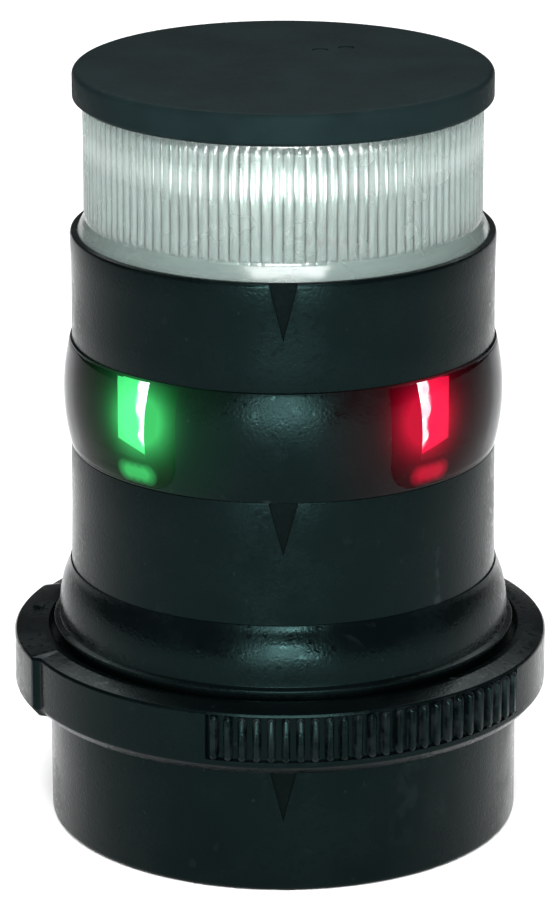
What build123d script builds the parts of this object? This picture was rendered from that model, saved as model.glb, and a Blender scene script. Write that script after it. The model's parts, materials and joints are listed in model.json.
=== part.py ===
from build123d import *
import math
import os

# Compact masthead navigation light: port, starboard and stern sectors in one band and an
# all-round anchor light on top, on a quick-release base. Millimetres, +Z up. The origin is the
# centre of the underside. The bow side faces -Y, starboard -X, port +X and the stern +Y.
# An azimuth is in degrees from the bow, positive towards port, so turning a part that is built
# at the bow side about +Z by its azimuth brings it into place.

# ---- Driving dimensions: heights -------------------------------------------------------------
FLOOR_TOP = 3.0
BASE_TOP = 23.0
GASKET_TOP = 23.8
FLANGE_TOP = 26.0
FOOT_TOP = 37.5
BAND_BOTTOM = 54.83
BAND_TOP = 70.05
DECK_BOTTOM = 81.0
DECK_TOP = 84.0
RIM_TOP = 85.2
LENS_TOP = 103.5
CAP_TOP = 107.94
RING_BOTTOM = 18.6
RING_TOP = 28.0

# ---- Driving dimensions: radii ---------------------------------------------------------------
BASE_R = 33.05
BASE_POCKET_R = 28.6
BARREL_R = 29.6
BARREL_BORE_R = 26.6
FOOT_R = 31.6
FOOT_LIP_R = 32.4
FLANGE_R = 33.8
SKIRT_R = 27.9
SKIRT_BORE_R = 25.6
BAND_MID_R = 30.6
BAND_BORE_R = 26.8
UPPER_R = 29.4
LENS_R = 27.3
LENS_BORE_R = 24.8
LENS_FLANGE_R = 28.45
CAP_R = 28.87
RING_R = 37.1
RING_PAD_R = 38.0
RING_LIP_R = 33.1
RING_SKIRT_R = 33.4
RING_RELIEF_R = 34.1

# ---- Seals -----------------------------------------------------------------------------------
SEAL_DEPTH = 0.85
BAND_SEAL_R = (27.4, 28.7)
LENS_SEAL_R = (25.4, 26.7)

# ---- Bayonet: one quarter turn lifts the head by LIFT ----------------------------------------
LIFT = 12.0
LIFT_TURN = 90.0
LUG_AZIMUTHS = (-90.0, 30.0, 150.0)
LUG_HALF_ANGLE = 4.0
LUG_R = 31.75
LUG_BOTTOM = 18.9
LUG_HEIGHT = 2.0
GROOVE_R = 31.4
GROOVE_CLEARANCE = 0.3

# ---- Ring grip -------------------------------------------------------------------------------
RIB_COUNT = 25
RIB_PITCH = 3.06
RIB_ZONES = (22.0, 158.0)
RIB_ROOT_R = 36.5
RIB_CREST_R = 37.5
RIB_WIDTH = 1.15
RIB_BOTTOM = 20.5
RIB_TOP = 27.0
PAD_AZIMUTH = -90.0
PAD_HALF_ANGLE = 24.0

# ---- Sector lights ---------------------------------------------------------------------------
SIDE_AZIMUTH = 62.8
STERN_AZIMUTH = 180.0
SIDE_LENS = (28.5, 106.0)
STERN_LENS = (126.0, 234.0)
LENS_INSET = 1.25
LENS_MARGIN = 0.35
LENS_CORNER_R = 4.0
BOARD_FACE = 25.7
BOARD_THICKNESS = 1.2
BOARD_Z = (58.65, 69.3)
SIDE_BOARD_X = (0.75, 11.5)
STERN_BOARD_X = (-5.4, 5.4)
SIDE_LED_X = 9.3
CHEEK = 1.8
SCREEN_Z = (56.4, 69.8)
SECTOR_LED_Z = (61.4, 65.0, 67.9)
LED_SIZE = (2.6, 0.8, 2.2)

# ---- Fasteners and columns -------------------------------------------------------------------
STACK_AZIMUTHS = (0.0, 114.0, -114.0)
STACK_R = 22.0
STACK_BOSS_R = 3.2
STACK_BOSS_BOTTOM = 46.0
TAB_BOTTOM = 66.0
COLUMN_AZIMUTHS = (60.0, 180.0, 300.0)
COLUMN_R = 21.0
COLUMN_BOSS_R = 2.7
LEDGE_Z = 18.0
BOARD_Z_LOW = 40.0

# ---- Contacts and cable entry ----------------------------------------------------------------
CONTACT_X = (-9.0, 0.0, 9.0)
CONTACT_Y = 15.0
TERMINAL_Y = 8.8
PIN_R = 1.5
PIN_TIP = 4.8
SOCKET_BORE_R = 1.56
SOCKET_R = 2.4
SOCKET_TOP = 11.0
CABLE_R = 3.25
MOUNT_HOLE_R = 2.2
MOUNT_PCD = 46.0
MOUNT_AZIMUTHS = (0.0, 120.0, -120.0)

# ---- Leads of the anchor light (azimuth, radius) ---------------------------------------------
LEAD_R = 0.65
LEAD_HOLE = (32.0, 20.0)
RED_HOLE = (28.0, 20.8)
BLACK_HOLE = (36.0, 19.4)

FIT = 0.05


# ---- Shape helpers ---------------------------------------------------------------------------
def turned(*points):
    """A ring or disc turned about Z from its (radius, height) outline."""
    outline = Polyline(*[(radius, 0, height) for radius, height in points], close=True)
    return revolve(make_face(outline), Axis.Z)


def tube(outer, inner, bottom, top):
    """A straight tube on the Z axis."""
    return turned((inner, bottom), (outer, bottom), (outer, top), (inner, top))


def rod(radius, bottom, top, x=0.0, y=0.0):
    """A vertical cylinder."""
    place = Pos(x, y, (bottom + top) / 2)
    return place * Cylinder(radius, top - bottom)


def block(x, y, z):
    """A box given by its (low, high) limits on each axis."""
    centre = [(low + high) / 2 for low, high in (x, y, z)]
    size = [high - low for low, high in (x, y, z)]
    return Pos(*centre) * Box(*size)


def turn(shape, azimuth):
    """The shape turned about Z from the bow side to an azimuth."""
    return Rot(0, 0, azimuth) * shape


def at(azimuth, radius):
    """The (x, y) place at an azimuth and a radius."""
    angle = math.radians(azimuth)
    return radius * math.sin(angle), -radius * math.cos(angle)


def sector(outline, start, end):
    """The part between two azimuths of the body turned from an (x, z) face of edges."""
    face = make_face(outline)
    return Rot(0, 0, start - 90) * revolve(face, Axis.Z, end - start)


def ring_sector(outer, inner, bottom, top, start, end):
    """The part of a tube between two azimuths."""
    corners = [(inner, 0, bottom), (outer, 0, bottom), (outer, 0, top), (inner, 0, top)]
    return sector(Polyline(*corners, close=True), start, end)


def group(shapes):
    """Separate solids kept together as one node."""
    return Compound(children=[solid for shape in shapes for solid in shape.solids()])


def screw(head_r, head_height, shank_r, length, x, y, z, up):
    """A pan-head screw: its head bears on height z and its shank points up or down."""
    way = 1 if up else -1
    head = rod(head_r, min(z, z - way * head_height), max(z, z - way * head_height), x, y)
    shank = rod(shank_r, min(z, z + way * length), max(z, z + way * length), x, y)
    crown = z - way * head_height
    slot = Pos(x, y, crown) * Box(2 * head_r * 0.8, 0.5, head_height * 0.8)
    return head + shank - slot


def lead(points, radius):
    """A round lead along straight runs that are joined by the largest arcs they leave room for."""
    path = [Vector(*point) for point in points]
    bends = []
    for before, here, after in zip(path, path[1:], path[2:]):
        turn_angle = (here - before).get_angle(after - here)
        run = min((here - before).length, (after - here).length)
        bends.append(0.45 * run / math.tan(math.radians(turn_angle) / 2))
    route = FilletPolyline(*path, radius=bends)
    return sweep(Plane(route @ 0, z_dir=route % 0) * Circle(radius), path=route)


def arrow(radius, top, bottom, width):
    """A shallow triangle that points down, for cutting into a barrel of the given radius."""
    corners = [(-width / 2, top), (width / 2, top), (0, bottom)]
    face = make_face(Polyline(*[(x, -radius + 0.35, z) for x, z in corners], close=True))
    return extrude(face, amount=2, dir=(0, -1, 0))


def barrel_radius(height, inset=0.0):
    """Radius of the bulged band at a height, or of a surface set in from it."""
    half = (BAND_TOP - BAND_BOTTOM) / 2
    sagitta = BAND_MID_R - BARREL_R
    bulge = (half**2 + sagitta**2) / (2 * sagitta)
    offset = height - (BAND_TOP + BAND_BOTTOM) / 2
    return BAND_MID_R - bulge + math.sqrt((bulge - inset) ** 2 - offset**2)


def barrel_arc(bottom, top, inset=0.0):
    """The arc of the bulged band's section between two heights."""
    heights = (bottom, (bottom + top) / 2, top)
    return ThreePointArc(*[(barrel_radius(z, inset), 0, z) for z in heights])


# ---- Base ------------------------------------------------------------------------------------
def groove_cutter():
    """One ramped bayonet groove at the bow side, from its closed lower end to the base's top."""
    ramp = LIFT / math.radians(LIFT_TURN) / LUG_R
    half = math.radians(LUG_HALF_ANGLE) * LUG_R + GROOVE_CLEARANCE
    low = LUG_BOTTOM - GROOVE_CLEARANCE
    high = LUG_BOTTOM + LUG_HEIGHT + GROOVE_CLEARANCE
    crest = BASE_TOP + 1
    middle = (crest - low) / ramp / 2
    outline = [
        (-half, low),
        (half, low),
        (half + (crest - low) / ramp, crest),
        (-half + (crest - high) / ramp, crest),
        (-half, high),
    ]
    shift = math.degrees(middle / LUG_R)
    face = make_face(Polyline(*[(x - middle, -25, z) for x, z in outline], close=True))
    prism = extrude(face, amount=15, dir=(0, -1, 0))
    return turn(prism, shift) & tube(40, GROOVE_R, 0, BASE_TOP + 2)


def base_housing():
    body = turned(
        (0, 0), (BASE_R - 0.8, 0), (BASE_R, 0.8), (BASE_R, BASE_TOP - 0.3), (BASE_R - 0.3, BASE_TOP),
        (BASE_POCKET_R + 0.4, BASE_TOP), (BASE_POCKET_R, BASE_TOP - 0.4), (BASE_POCKET_R, FLOOR_TOP),
        (0, FLOOR_TOP),
    )
    body += block((-1.5, 1.5), (-BASE_POCKET_R - 0.5, -26.6), (FLOOR_TOP, 20))
    body += group([rod(2.2, FLOOR_TOP - 0.5, 4, x, 17.6) for x in (-4.5, 4.5)])
    body -= rod(4.6, -1, 5) + rod(5.8, -1, 1)
    body -= tube(31.5, 29.5, -1, 1.25)
    body -= group([rod(0.95, 1.2, 5, x, 17.6) for x in (-4.5, 4.5)])
    for azimuth in MOUNT_AZIMUTHS:
        body -= rod(MOUNT_HOLE_R, -1, 5, *at(azimuth, MOUNT_PCD / 2))
    for azimuth in LUG_AZIMUTHS:
        body -= turn(groove_cutter(), azimuth)
    return body - arrow(BASE_R, RING_BOTTOM + 0.4, 10.55, 4.4)


def socket_block():
    body = block((-14.2, 14.2), (11.5, 18.8), (4, 10.6)) + block((-14.2, 14.2), (6.2, 11.5), (4, 8.4))
    for x in CONTACT_X:
        body -= rod(SOCKET_R + FIT, 3, 12, x, CONTACT_Y)
        body -= block((x - 2.45, x + 2.45), (6, CONTACT_Y), (3, 6.25))
        body -= block((x - 2.9, x + 2.9), (5, 11), (6.2, 9))
    for x in (-4.5, 4.5):
        body -= rod(1.15, 3, 12, x, 17.6) + rod(1.95, 9.2, 12, x, 17.6)
    return body


def contact_sockets():
    solids = []
    for x in CONTACT_X:
        bar = block((x - 2.4, x + 2.4), (6.4, CONTACT_Y), (4.2, 6.2))
        body = bar + rod(SOCKET_R, 4.2, SOCKET_TOP, x, CONTACT_Y)
        body -= rod(SOCKET_BORE_R, 3, 12, x, CONTACT_Y)
        solids.append(body - rod(1.3, 3, 7, x, TERMINAL_Y))
    return group(solids)


def terminal_screws():
    return group([screw(1.9, 1.6, 1.25, 1.8, x, TERMINAL_Y, 6.2, False) for x in CONTACT_X])


def socket_block_screws():
    return group([screw(1.85, 1.2, 0.9, 7.5, x, 17.6, 9.2, False) for x in (-4.5, 4.5)])


def cable_grommet():
    return turned(
        (CABLE_R, 0), (5.7, 0), (5.7, 0.95), (4.5, 0.95), (4.5, FLOOR_TOP), (5.9, FLOOR_TOP),
        (5.9, 3.7), (5.0, 4.2), (CABLE_R, 4.2),
    )


def mounting_seal():
    return tube(31.4, 29.6, 0, 1.2)


# ---- Locking ring ----------------------------------------------------------------------------
def ring_profile(outer):
    """Section of the ring's wall for one outer radius."""
    return Polyline(
        (RING_SKIRT_R, 0, RING_BOTTOM), (outer - 1.1, 0, RING_BOTTOM), (outer - 0.2, 0, RING_BOTTOM + 0.9),
        (outer, 0, 24.0), (outer, 0, 26.7), (outer - 0.5, 0, 27.3), (RING_LIP_R + 0.9, 0, RING_TOP),
        (RING_LIP_R + 0.2, 0, RING_TOP), (RING_LIP_R, 0, RING_TOP - 0.3), (RING_LIP_R, 0, FLANGE_TOP + 0.1),
        (RING_RELIEF_R, 0, FLANGE_TOP + 0.1), (RING_RELIEF_R, 0, 22.9), (RING_SKIRT_R, 0, 22.4),
        close=True,
    )


def locking_ring():
    body = revolve(make_face(ring_profile(RING_R)), Axis.Z)
    low, high = PAD_AZIMUTH - PAD_HALF_ANGLE, PAD_AZIMUTH + PAD_HALF_ANGLE
    body += sector(ring_profile(RING_PAD_R), low, high)
    rib_angles = [(index - (RIB_COUNT - 1) / 2) * RIB_PITCH for index in range(RIB_COUNT)]
    half_zone = RIB_COUNT * RIB_PITCH / 2
    rib = block((-RIB_WIDTH / 2, RIB_WIDTH / 2), (-RIB_CREST_R, -RIB_ROOT_R + 0.5), (RIB_BOTTOM, RIB_TOP))
    for zone in RIB_ZONES:
        body -= ring_sector(40, RIB_ROOT_R, RIB_BOTTOM, RIB_TOP, zone - half_zone, zone + half_zone)
    body += [turn(rib, zone + angle) for zone in RIB_ZONES for angle in rib_angles]
    for azimuth in LUG_AZIMUTHS:
        ends = (azimuth - LUG_HALF_ANGLE, azimuth + LUG_HALF_ANGLE)
        body += ring_sector(RING_SKIRT_R + 0.5, LUG_R, LUG_BOTTOM, LUG_BOTTOM + LUG_HEIGHT, *ends)
    return body + lock_mark()


def lock_mark():
    """Small raised triangle on the ring's top face that marks the locked place."""
    corners = [(-0.9, -34.4), (0.9, -34.4), (0, -35.9)]
    face = make_face(Polyline(*[(x, y, RING_TOP - 0.6) for x, y in corners], close=True))
    return turn(extrude(face, amount=0.8), PAD_AZIMUTH - 7)


# ---- Lower housing and what it holds ---------------------------------------------------------
def column(radius, place, boss_r, bottom, top, wall_r):
    """A round boss with a web that joins it to the wall around it."""
    web = block((-1.2, 1.2), (-wall_r - 0.6, -radius), (bottom, top))
    return turn(rod(boss_r, bottom, top, 0, -radius) + web, place)


def lower_housing():
    outline = [
        Line((SKIRT_R, 0, 14), (SKIRT_R, 0, GASKET_TOP)),
        Line((SKIRT_R, 0, GASKET_TOP), (FLANGE_R, 0, GASKET_TOP)),
        Line((FLANGE_R, 0, GASKET_TOP), (FLANGE_R, 0, FLANGE_TOP)),
        Line((FLANGE_R, 0, FLANGE_TOP), (FOOT_R, 0, FLANGE_TOP)),
        Line((FOOT_R, 0, FLANGE_TOP), (FOOT_R, 0, 28.2)),
        Line((FOOT_R, 0, 28.2), (FOOT_LIP_R, 0, 28.4)),
        Line((FOOT_LIP_R, 0, 28.4), (FOOT_LIP_R, 0, 28.9)),
        Line((FOOT_LIP_R, 0, 28.9), (FOOT_R, 0, 29.2)),
        Line((FOOT_R, 0, 29.2), (FOOT_R, 0, 30.5)),
        ThreePointArc((FOOT_R, 0, 30.5), (31.08, 0, 34.5), (30.0, 0, FOOT_TOP)),
        Line((30.0, 0, FOOT_TOP), (29.8, 0, FOOT_TOP)),
        Line((29.8, 0, FOOT_TOP), (BARREL_R, 0, BAND_BOTTOM)),
        Line((BARREL_R, 0, BAND_BOTTOM), (BARREL_BORE_R, 0, BAND_BOTTOM)),
        Line((BARREL_BORE_R, 0, BAND_BOTTOM), (BARREL_BORE_R, 0, FLANGE_TOP)),
        Line((BARREL_BORE_R, 0, FLANGE_TOP), (23.6, 0, FLANGE_TOP - 2)),
        Line((23.6, 0, FLANGE_TOP - 2), (23.6, 0, LEDGE_Z)),
        Line((23.6, 0, LEDGE_Z), (SKIRT_BORE_R, 0, LEDGE_Z)),
        Line((SKIRT_BORE_R, 0, LEDGE_Z), (SKIRT_BORE_R, 0, 14)),
        Line((SKIRT_BORE_R, 0, 14), (SKIRT_R, 0, 14)),
    ]
    body = revolve(make_face(outline), Axis.Z)
    for azimuth in COLUMN_AZIMUTHS:
        body += column(COLUMN_R, azimuth, COLUMN_BOSS_R, LEDGE_Z, FLANGE_TOP, 23.6)
        body += column(COLUMN_R, azimuth, COLUMN_BOSS_R, FLANGE_TOP, BOARD_Z_LOW, BARREL_BORE_R)
        body -= rod(0.95, 10, 27, *at(azimuth, COLUMN_R)) + rod(0.95, 32, 41, *at(azimuth, COLUMN_R))
    for azimuth in STACK_AZIMUTHS:
        body += column(STACK_R, azimuth, STACK_BOSS_R, STACK_BOSS_BOTTOM, BAND_BOTTOM, BARREL_BORE_R)
        body -= rod(1.65, 40, 60, *at(azimuth, STACK_R))
    body -= tube(BAND_SEAL_R[1], BAND_SEAL_R[0], BAND_BOTTOM - SEAL_DEPTH, 60)
    body -= block((-1.85, 1.85), (-30, -26.2), (13, 20.5))
    return body - arrow(BARREL_R, BAND_BOTTOM + 1, 47.5, 4.1)


def lower_band_seal():
    return tube(BAND_SEAL_R[1] - FIT, BAND_SEAL_R[0] + FIT, BAND_BOTTOM - SEAL_DEPTH, BAND_BOTTOM)


def stack_screws():
    solids = [
        screw(2.8, 2.2, 1.45, 34, *at(azimuth, STACK_R), STACK_BOSS_BOTTOM, True)
        for azimuth in STACK_AZIMUTHS
    ]
    return group(solids)


def contact_carrier():
    body = rod(25.3, 15, LEDGE_Z) + block((-12.8, 12.8), (11.8, 18.2), (12.4, 15))
    for x in CONTACT_X:
        body -= rod(PIN_R + FIT, 10, 20, x, CONTACT_Y)
    for azimuth in COLUMN_AZIMUTHS:
        body -= rod(1.15, 10, 20, *at(azimuth, COLUMN_R))
    return body


def contact_pins():
    pin = turned((0, PIN_TIP), (0.9, PIN_TIP), (PIN_R, PIN_TIP + 0.8), (PIN_R, LEDGE_Z), (2.3, LEDGE_Z),
                 (2.3, 18.8), (PIN_R, 18.8), (PIN_R, 21), (0, 21))
    return group([Pos(x, CONTACT_Y, 0) * pin for x in CONTACT_X])


def carrier_screws():
    return group([screw(1.9, 1.3, 0.9, 9, *at(a, COLUMN_R), 15, True) for a in COLUMN_AZIMUTHS])


def head_gasket():
    return tube(32.8, 28.8, BASE_TOP + FIT, GASKET_TOP)


def driver_board():
    body = rod(23.5, BOARD_Z_LOW, BOARD_Z_LOW + 1.6)
    for azimuth in COLUMN_AZIMUTHS:
        body -= rod(1.15, 39, 43, *at(azimuth, COLUMN_R))
    return body


def board_screws():
    top = BOARD_Z_LOW + 1.6
    return group([screw(1.9, 1.3, 0.9, 6, *at(a, COLUMN_R), top, False) for a in COLUMN_AZIMUTHS])


def driver_inductor():
    return Pos(-9, 4, BOARD_Z_LOW + 1.6) * turned((0, 0), (4.6, 0), (4.6, 1.2), (3.8, 1.2), (3.8, 5.2),
                                                  (4.6, 5.2), (4.6, 6.4), (0, 6.4))


def driver_capacitors():
    can = turned((0, 0), (3.15, 0), (3.15, 6.6), (2.7, 7.1), (0, 7.1))
    return group([Pos(x, y, BOARD_Z_LOW + 1.6) * can for x, y in ((9.5, 6), (10.5, -2.5))])


def driver_chips():
    low = BOARD_Z_LOW + 1.6
    places = ((-10, -8, 5.0, 4.0), (2.5, 9.5, 4.0, 5.0), (3.5, -12, 6.4, 3.4))
    return group([block((x - w / 2, x + w / 2), (y - d / 2, y + d / 2), (low, low + 1.5))
                  for x, y, w, d in places])


def supply_leads():
    solids = []
    for x in CONTACT_X:
        far = 0.65 * x
        route = [(x, CONTACT_Y, 21), (x, CONTACT_Y, 27), (far, 10, 34), (far, 10, BOARD_Z_LOW)]
        solids.append(lead(route, 0.8))
    return group(solids)


# ---- Sector band -----------------------------------------------------------------------------
def window_lens(start, end):
    """A curved window flush with the band, with rounded lower corners."""
    low, high = BAND_BOTTOM + LENS_MARGIN, BAND_TOP - LENS_MARGIN
    outer, inner = barrel_arc(low, high), barrel_arc(low, high, LENS_INSET)
    outline = [outer, Line(outer @ 1, inner @ 1), inner, Line(inner @ 0, outer @ 0)]
    body = sector(outline, start, end)
    for azimuth, way in ((start, 1), (end, -1)):
        inset = LENS_CORNER_R
        corner = block(tuple(sorted((-way, way * inset))), (-40, -20), (low - 1, low + inset))
        round_bar = Pos(way * inset, -30, low + inset) * Rot(90, 0, 0) * Cylinder(inset, 30)
        body -= turn(corner - round_bar, azimuth)
    return body


def starboard_lens():
    return window_lens(-SIDE_LENS[1], -SIDE_LENS[0])


def port_lens():
    return window_lens(*SIDE_LENS)


def stern_lens():
    return window_lens(*STERN_LENS)


# Each sector light is (azimuth of its board's normal, (low, high) x of the board, x of its lamps)
# before it is turned to its azimuth.
SECTORS = {
    "starboard": (-SIDE_AZIMUTH, SIDE_BOARD_X, SIDE_LED_X),
    "port": (SIDE_AZIMUTH, (-SIDE_BOARD_X[1], -SIDE_BOARD_X[0]), -SIDE_LED_X),
    "stern": (STERN_AZIMUTH, STERN_BOARD_X, 0.0),
}


def screen_block(name, gap):
    """The outer block of a sector's screen, grown by a gap, before it is cut to the band."""
    azimuth, (low, high), _ = SECTORS[name]
    reach = CHEEK + gap
    heights = (SCREEN_Z[0] - gap, SCREEN_Z[1] + gap)
    return turn(block((low - reach, high + reach), (-32, -23.4 + gap), heights), azimuth)


def sector_band():
    outer = barrel_arc(BAND_BOTTOM, BAND_TOP)
    outline = [
        outer, Line(outer @ 1, (BAND_BORE_R, 0, BAND_TOP)),
        Line((BAND_BORE_R, 0, BAND_TOP), (BAND_BORE_R, 0, BAND_BOTTOM)),
        Line((BAND_BORE_R, 0, BAND_BOTTOM), outer @ 0),
    ]
    body = revolve(make_face(outline), Axis.Z)
    for azimuth in STACK_AZIMUTHS:
        body += column(STACK_R, azimuth, STACK_BOSS_R, BAND_BOTTOM, TAB_BOTTOM, BAND_BORE_R)
        body -= rod(1.65, 50, 70, *at(azimuth, STACK_R))
    for name in SECTORS:
        body -= screen_block(name, FIT)
    return body - starboard_lens() - port_lens() - stern_lens()


def sector_screen(name):
    """The frame behind a window that cuts off the edges of its sector."""
    azimuth, (low, high), _ = SECTORS[name]
    inset = LENS_INSET + FIT
    outer = barrel_arc(SCREEN_Z[0] - 0.5, SCREEN_Z[1] + 0.2, inset)
    outline = [outer, Line(outer @ 1, (0, 0, SCREEN_Z[1] + 0.2)),
               Line((0, 0, SCREEN_Z[1] + 0.2), (0, 0, SCREEN_Z[0] - 0.5)),
               Line((0, 0, SCREEN_Z[0] - 0.5), outer @ 0)]
    body = screen_block(name, 0) & revolve(make_face(outline), Axis.Z)
    window = block((low - FIT, high + FIT), (-40, -20), (BOARD_Z[0] - FIT, BOARD_Z[1] + FIT))
    return body - turn(window, azimuth)


def sector_board(name):
    azimuth, limits, _ = SECTORS[name]
    return turn(block(limits, (-BOARD_FACE, -BOARD_FACE + BOARD_THICKNESS), BOARD_Z), azimuth)


def sector_leds(name):
    azimuth, _, x = SECTORS[name]
    width, depth, height = LED_SIZE
    chips = [block((x - width / 2, x + width / 2), (-BOARD_FACE - depth, -BOARD_FACE),
                   (z - height / 2, z + height / 2)) for z in SECTOR_LED_Z]
    return group([turn(chip, azimuth) for chip in chips])


def heat_sink():
    """Aluminium star: pads behind the boards and tabs that the stack screws clamp."""
    body = rod(8, 60, BAND_TOP)
    for azimuth, (low, high), _ in SECTORS.values():
        middle = (low + high) / 2
        pad = block((low + 0.4, high - 0.4), (-BOARD_FACE + BOARD_THICKNESS, -22.4), (61.5, 69))
        arm = block((middle - 1.3, middle + 1.3), (-23, -4), (61.5, 69))
        body += turn(pad + arm, azimuth)
    for azimuth in STACK_AZIMUTHS:
        tab = rod(STACK_BOSS_R, TAB_BOTTOM, BAND_TOP, 0, -STACK_R)
        tab += block((-1.5, 1.5), (-STACK_R, -5), (TAB_BOTTOM, BAND_TOP))
        body += turn(tab, azimuth)
        body -= rod(1.65, 60, 75, *at(azimuth, STACK_R))
    return body - rod(4.8, 50, 80)


def sector_leads():
    solids = []
    for azimuth, (low, high), _ in SECTORS.values():
        x = (low + high) / 2
        end = (x, -BOARD_FACE + BOARD_THICKNESS, 60)
        route = [(x, -14, BOARD_Z_LOW + 1.6), (x, -14, 50), (x, -19, 60), end]
        solids.append(turn(lead(route, 0.8), azimuth))
    return group(solids)


# ---- Upper housing and anchor light ----------------------------------------------------------
def upper_housing():
    body = turned(
        (UPPER_R, BAND_TOP), (UPPER_R - 0.05, 78), (UPPER_R + 0.07, RIM_TOP - 0.4), (UPPER_R - 0.3, RIM_TOP),
        (LENS_FLANGE_R + FIT, RIM_TOP), (LENS_FLANGE_R + FIT, DECK_TOP), (0, DECK_TOP), (0, DECK_BOTTOM),
        (BARREL_BORE_R, DECK_BOTTOM), (BARREL_BORE_R, BAND_TOP),
    )
    for azimuth in STACK_AZIMUTHS:
        body += column(STACK_R, azimuth, STACK_BOSS_R, BAND_TOP, DECK_BOTTOM, BARREL_BORE_R)
        body -= rod(1.5, 60, 80.5, *at(azimuth, STACK_R))
    body -= tube(BAND_SEAL_R[1], BAND_SEAL_R[0], 60, BAND_TOP + SEAL_DEPTH)
    body -= tube(LENS_SEAL_R[1], LENS_SEAL_R[0], DECK_TOP - SEAL_DEPTH, DECK_TOP + 1)
    body -= rod(2.1, 75, 90) + rod(2.4, 75, 90, *at(*LEAD_HOLE))
    return body - arrow(UPPER_R, RIM_TOP + 1, 77.3, 3.9)


def upper_band_seal():
    return tube(BAND_SEAL_R[1] - FIT, BAND_SEAL_R[0] + FIT, BAND_TOP, BAND_TOP + SEAL_DEPTH)


def lens_seal():
    return tube(LENS_SEAL_R[1] - FIT, LENS_SEAL_R[0] + FIT, DECK_TOP - SEAL_DEPTH, DECK_TOP)


def anchor_lens():
    return turned(
        (LENS_BORE_R, DECK_TOP), (LENS_FLANGE_R, DECK_TOP), (LENS_FLANGE_R, RIM_TOP), (27.75, 86.5),
        (LENS_R + 0.2, 87.3), (LENS_R, 90.5), (LENS_R - 0.1, 97), (LENS_R, LENS_TOP), (LENS_BORE_R, LENS_TOP),
    )


def anchor_reflector():
    body = turned((2.2, DECK_TOP), (24.6, DECK_TOP), (24.6, 84.8), (23.6, 85.6), (2.2, 85.6))
    return body - rod(2.4, 80, 90, *at(*LEAD_HOLE))


def anchor_post():
    return turned((4.3, 85.6), (12, 85.6), (12, 86.6), (9, 87.4), (9, 101.4), (4.3, 101.4))


def anchor_board():
    return tube(9.65, 9.05, 88.4, 97.6)


def anchor_leds():
    chip = block((-1.5, 1.5), (-10.7, -9.7), (91.6, 94.8))
    return group([turn(chip, 45 * index) for index in range(8)])


def anchor_lead(start_x, hole, over_deck):
    """A lead from the driver board up through the deck, then over the reflector to the board."""
    hole_x, hole_y = at(*hole)
    route = [(start_x, 0, BOARD_Z_LOW + 1.6), (start_x, 0, 58), (start_x, -0.3, 69),
             (hole_x * 0.65, hole_y * 0.65, 76.5), (hole_x, hole_y, 80), (hole_x, hole_y, 86.5)]
    for azimuth, radius, height in over_deck:
        route.append((*at(azimuth, radius), height))
    return lead(route, LEAD_R)


def anchor_lead_red():
    return anchor_lead(-2.2, RED_HOLE, [(22, 21, 88.6), (14, 19, 88.0), (9, 14, 88.2), (8, 10.35, 89.5)])


def anchor_lead_black():
    return anchor_lead(2.2, BLACK_HOLE, [(40, 16.5, 88.8), (42, 12.5, 89.3), (42, 10.35, 90.2)])


def tie_screw():
    return screw(3.5, 2.6, 1.95, 17, 0, 0, DECK_BOTTOM, True)


def cap_seal():
    return tube(LENS_SEAL_R[1] - FIT, LENS_SEAL_R[0] + FIT, LENS_TOP, LENS_TOP + SEAL_DEPTH)


def top_cap():
    outline = [
        Line((0, 0, LENS_TOP), (28.3, 0, LENS_TOP)),
        Line((28.3, 0, LENS_TOP), (CAP_R, 0, LENS_TOP + 0.6)),
        Line((CAP_R, 0, LENS_TOP + 0.6), (CAP_R, 0, CAP_TOP - 1.0)),
        ThreePointArc(
            (CAP_R, 0, CAP_TOP - 1.0), (CAP_R - 0.28, 0, CAP_TOP - 0.3), (CAP_R - 0.95, 0, CAP_TOP)
        ),
        Line((CAP_R - 0.95, 0, CAP_TOP), (0, 0, CAP_TOP)),
        Line((0, 0, CAP_TOP), (0, 0, LENS_TOP)),
    ]
    body = revolve(make_face(outline), Axis.Z)
    body += tube(24.6, 23.4, 101.6, LENS_TOP + 0.5) + rod(4.2, 92, LENS_TOP + 0.5)
    body -= rod(2.0, 91, 102)
    body -= tube(LENS_SEAL_R[1], LENS_SEAL_R[0], LENS_TOP - 1, LENS_TOP + SEAL_DEPTH)
    for x, y in ((5.1, 9.2), (8.7, 10.5)):
        body -= rod(1.1, CAP_TOP - 0.15, CAP_TOP + 1, x, y)
    return body


# ---- Writing the nodes -----------------------------------------------------------------------
NODES = [
    base_housing, socket_block, contact_sockets, terminal_screws, socket_block_screws, cable_grommet,
    mounting_seal, locking_ring, lower_housing, lower_band_seal, stack_screws, contact_carrier,
    contact_pins, carrier_screws, head_gasket, driver_board, board_screws, driver_inductor,
    driver_capacitors, driver_chips, supply_leads, starboard_lens, port_lens, stern_lens, sector_band,
    heat_sink, sector_leads, upper_housing, upper_band_seal, lens_seal, anchor_lens, anchor_reflector,
    anchor_post, anchor_board, anchor_leds, anchor_lead_red, anchor_lead_black, tie_screw, cap_seal,
    top_cap,
]

os.makedirs("parts", exist_ok=True)
for build_node in NODES:
    export_step(build_node(), f"parts/{build_node.__name__}.step")
for side in SECTORS:
    export_step(sector_screen(side), f"parts/{side}_screen.step")
    export_step(sector_board(side), f"parts/{side}_board.step")
    export_step(sector_leds(side), f"parts/{side}_leds.step")
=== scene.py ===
"""Compact masthead navigation light: its looks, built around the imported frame.

The bow side faces -Y, starboard -X, port +X and the stern +Y. An azimuth is in degrees from the
bow, positive towards port. Sizes of the pieces are in millimetres, which MM turns into metres.
"""

import json
import logging
import math
from dataclasses import dataclass
from enum import Enum
from functools import lru_cache
from typing import Optional, Sequence

import bmesh
import bpy
from mathutils import Matrix, Vector


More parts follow.
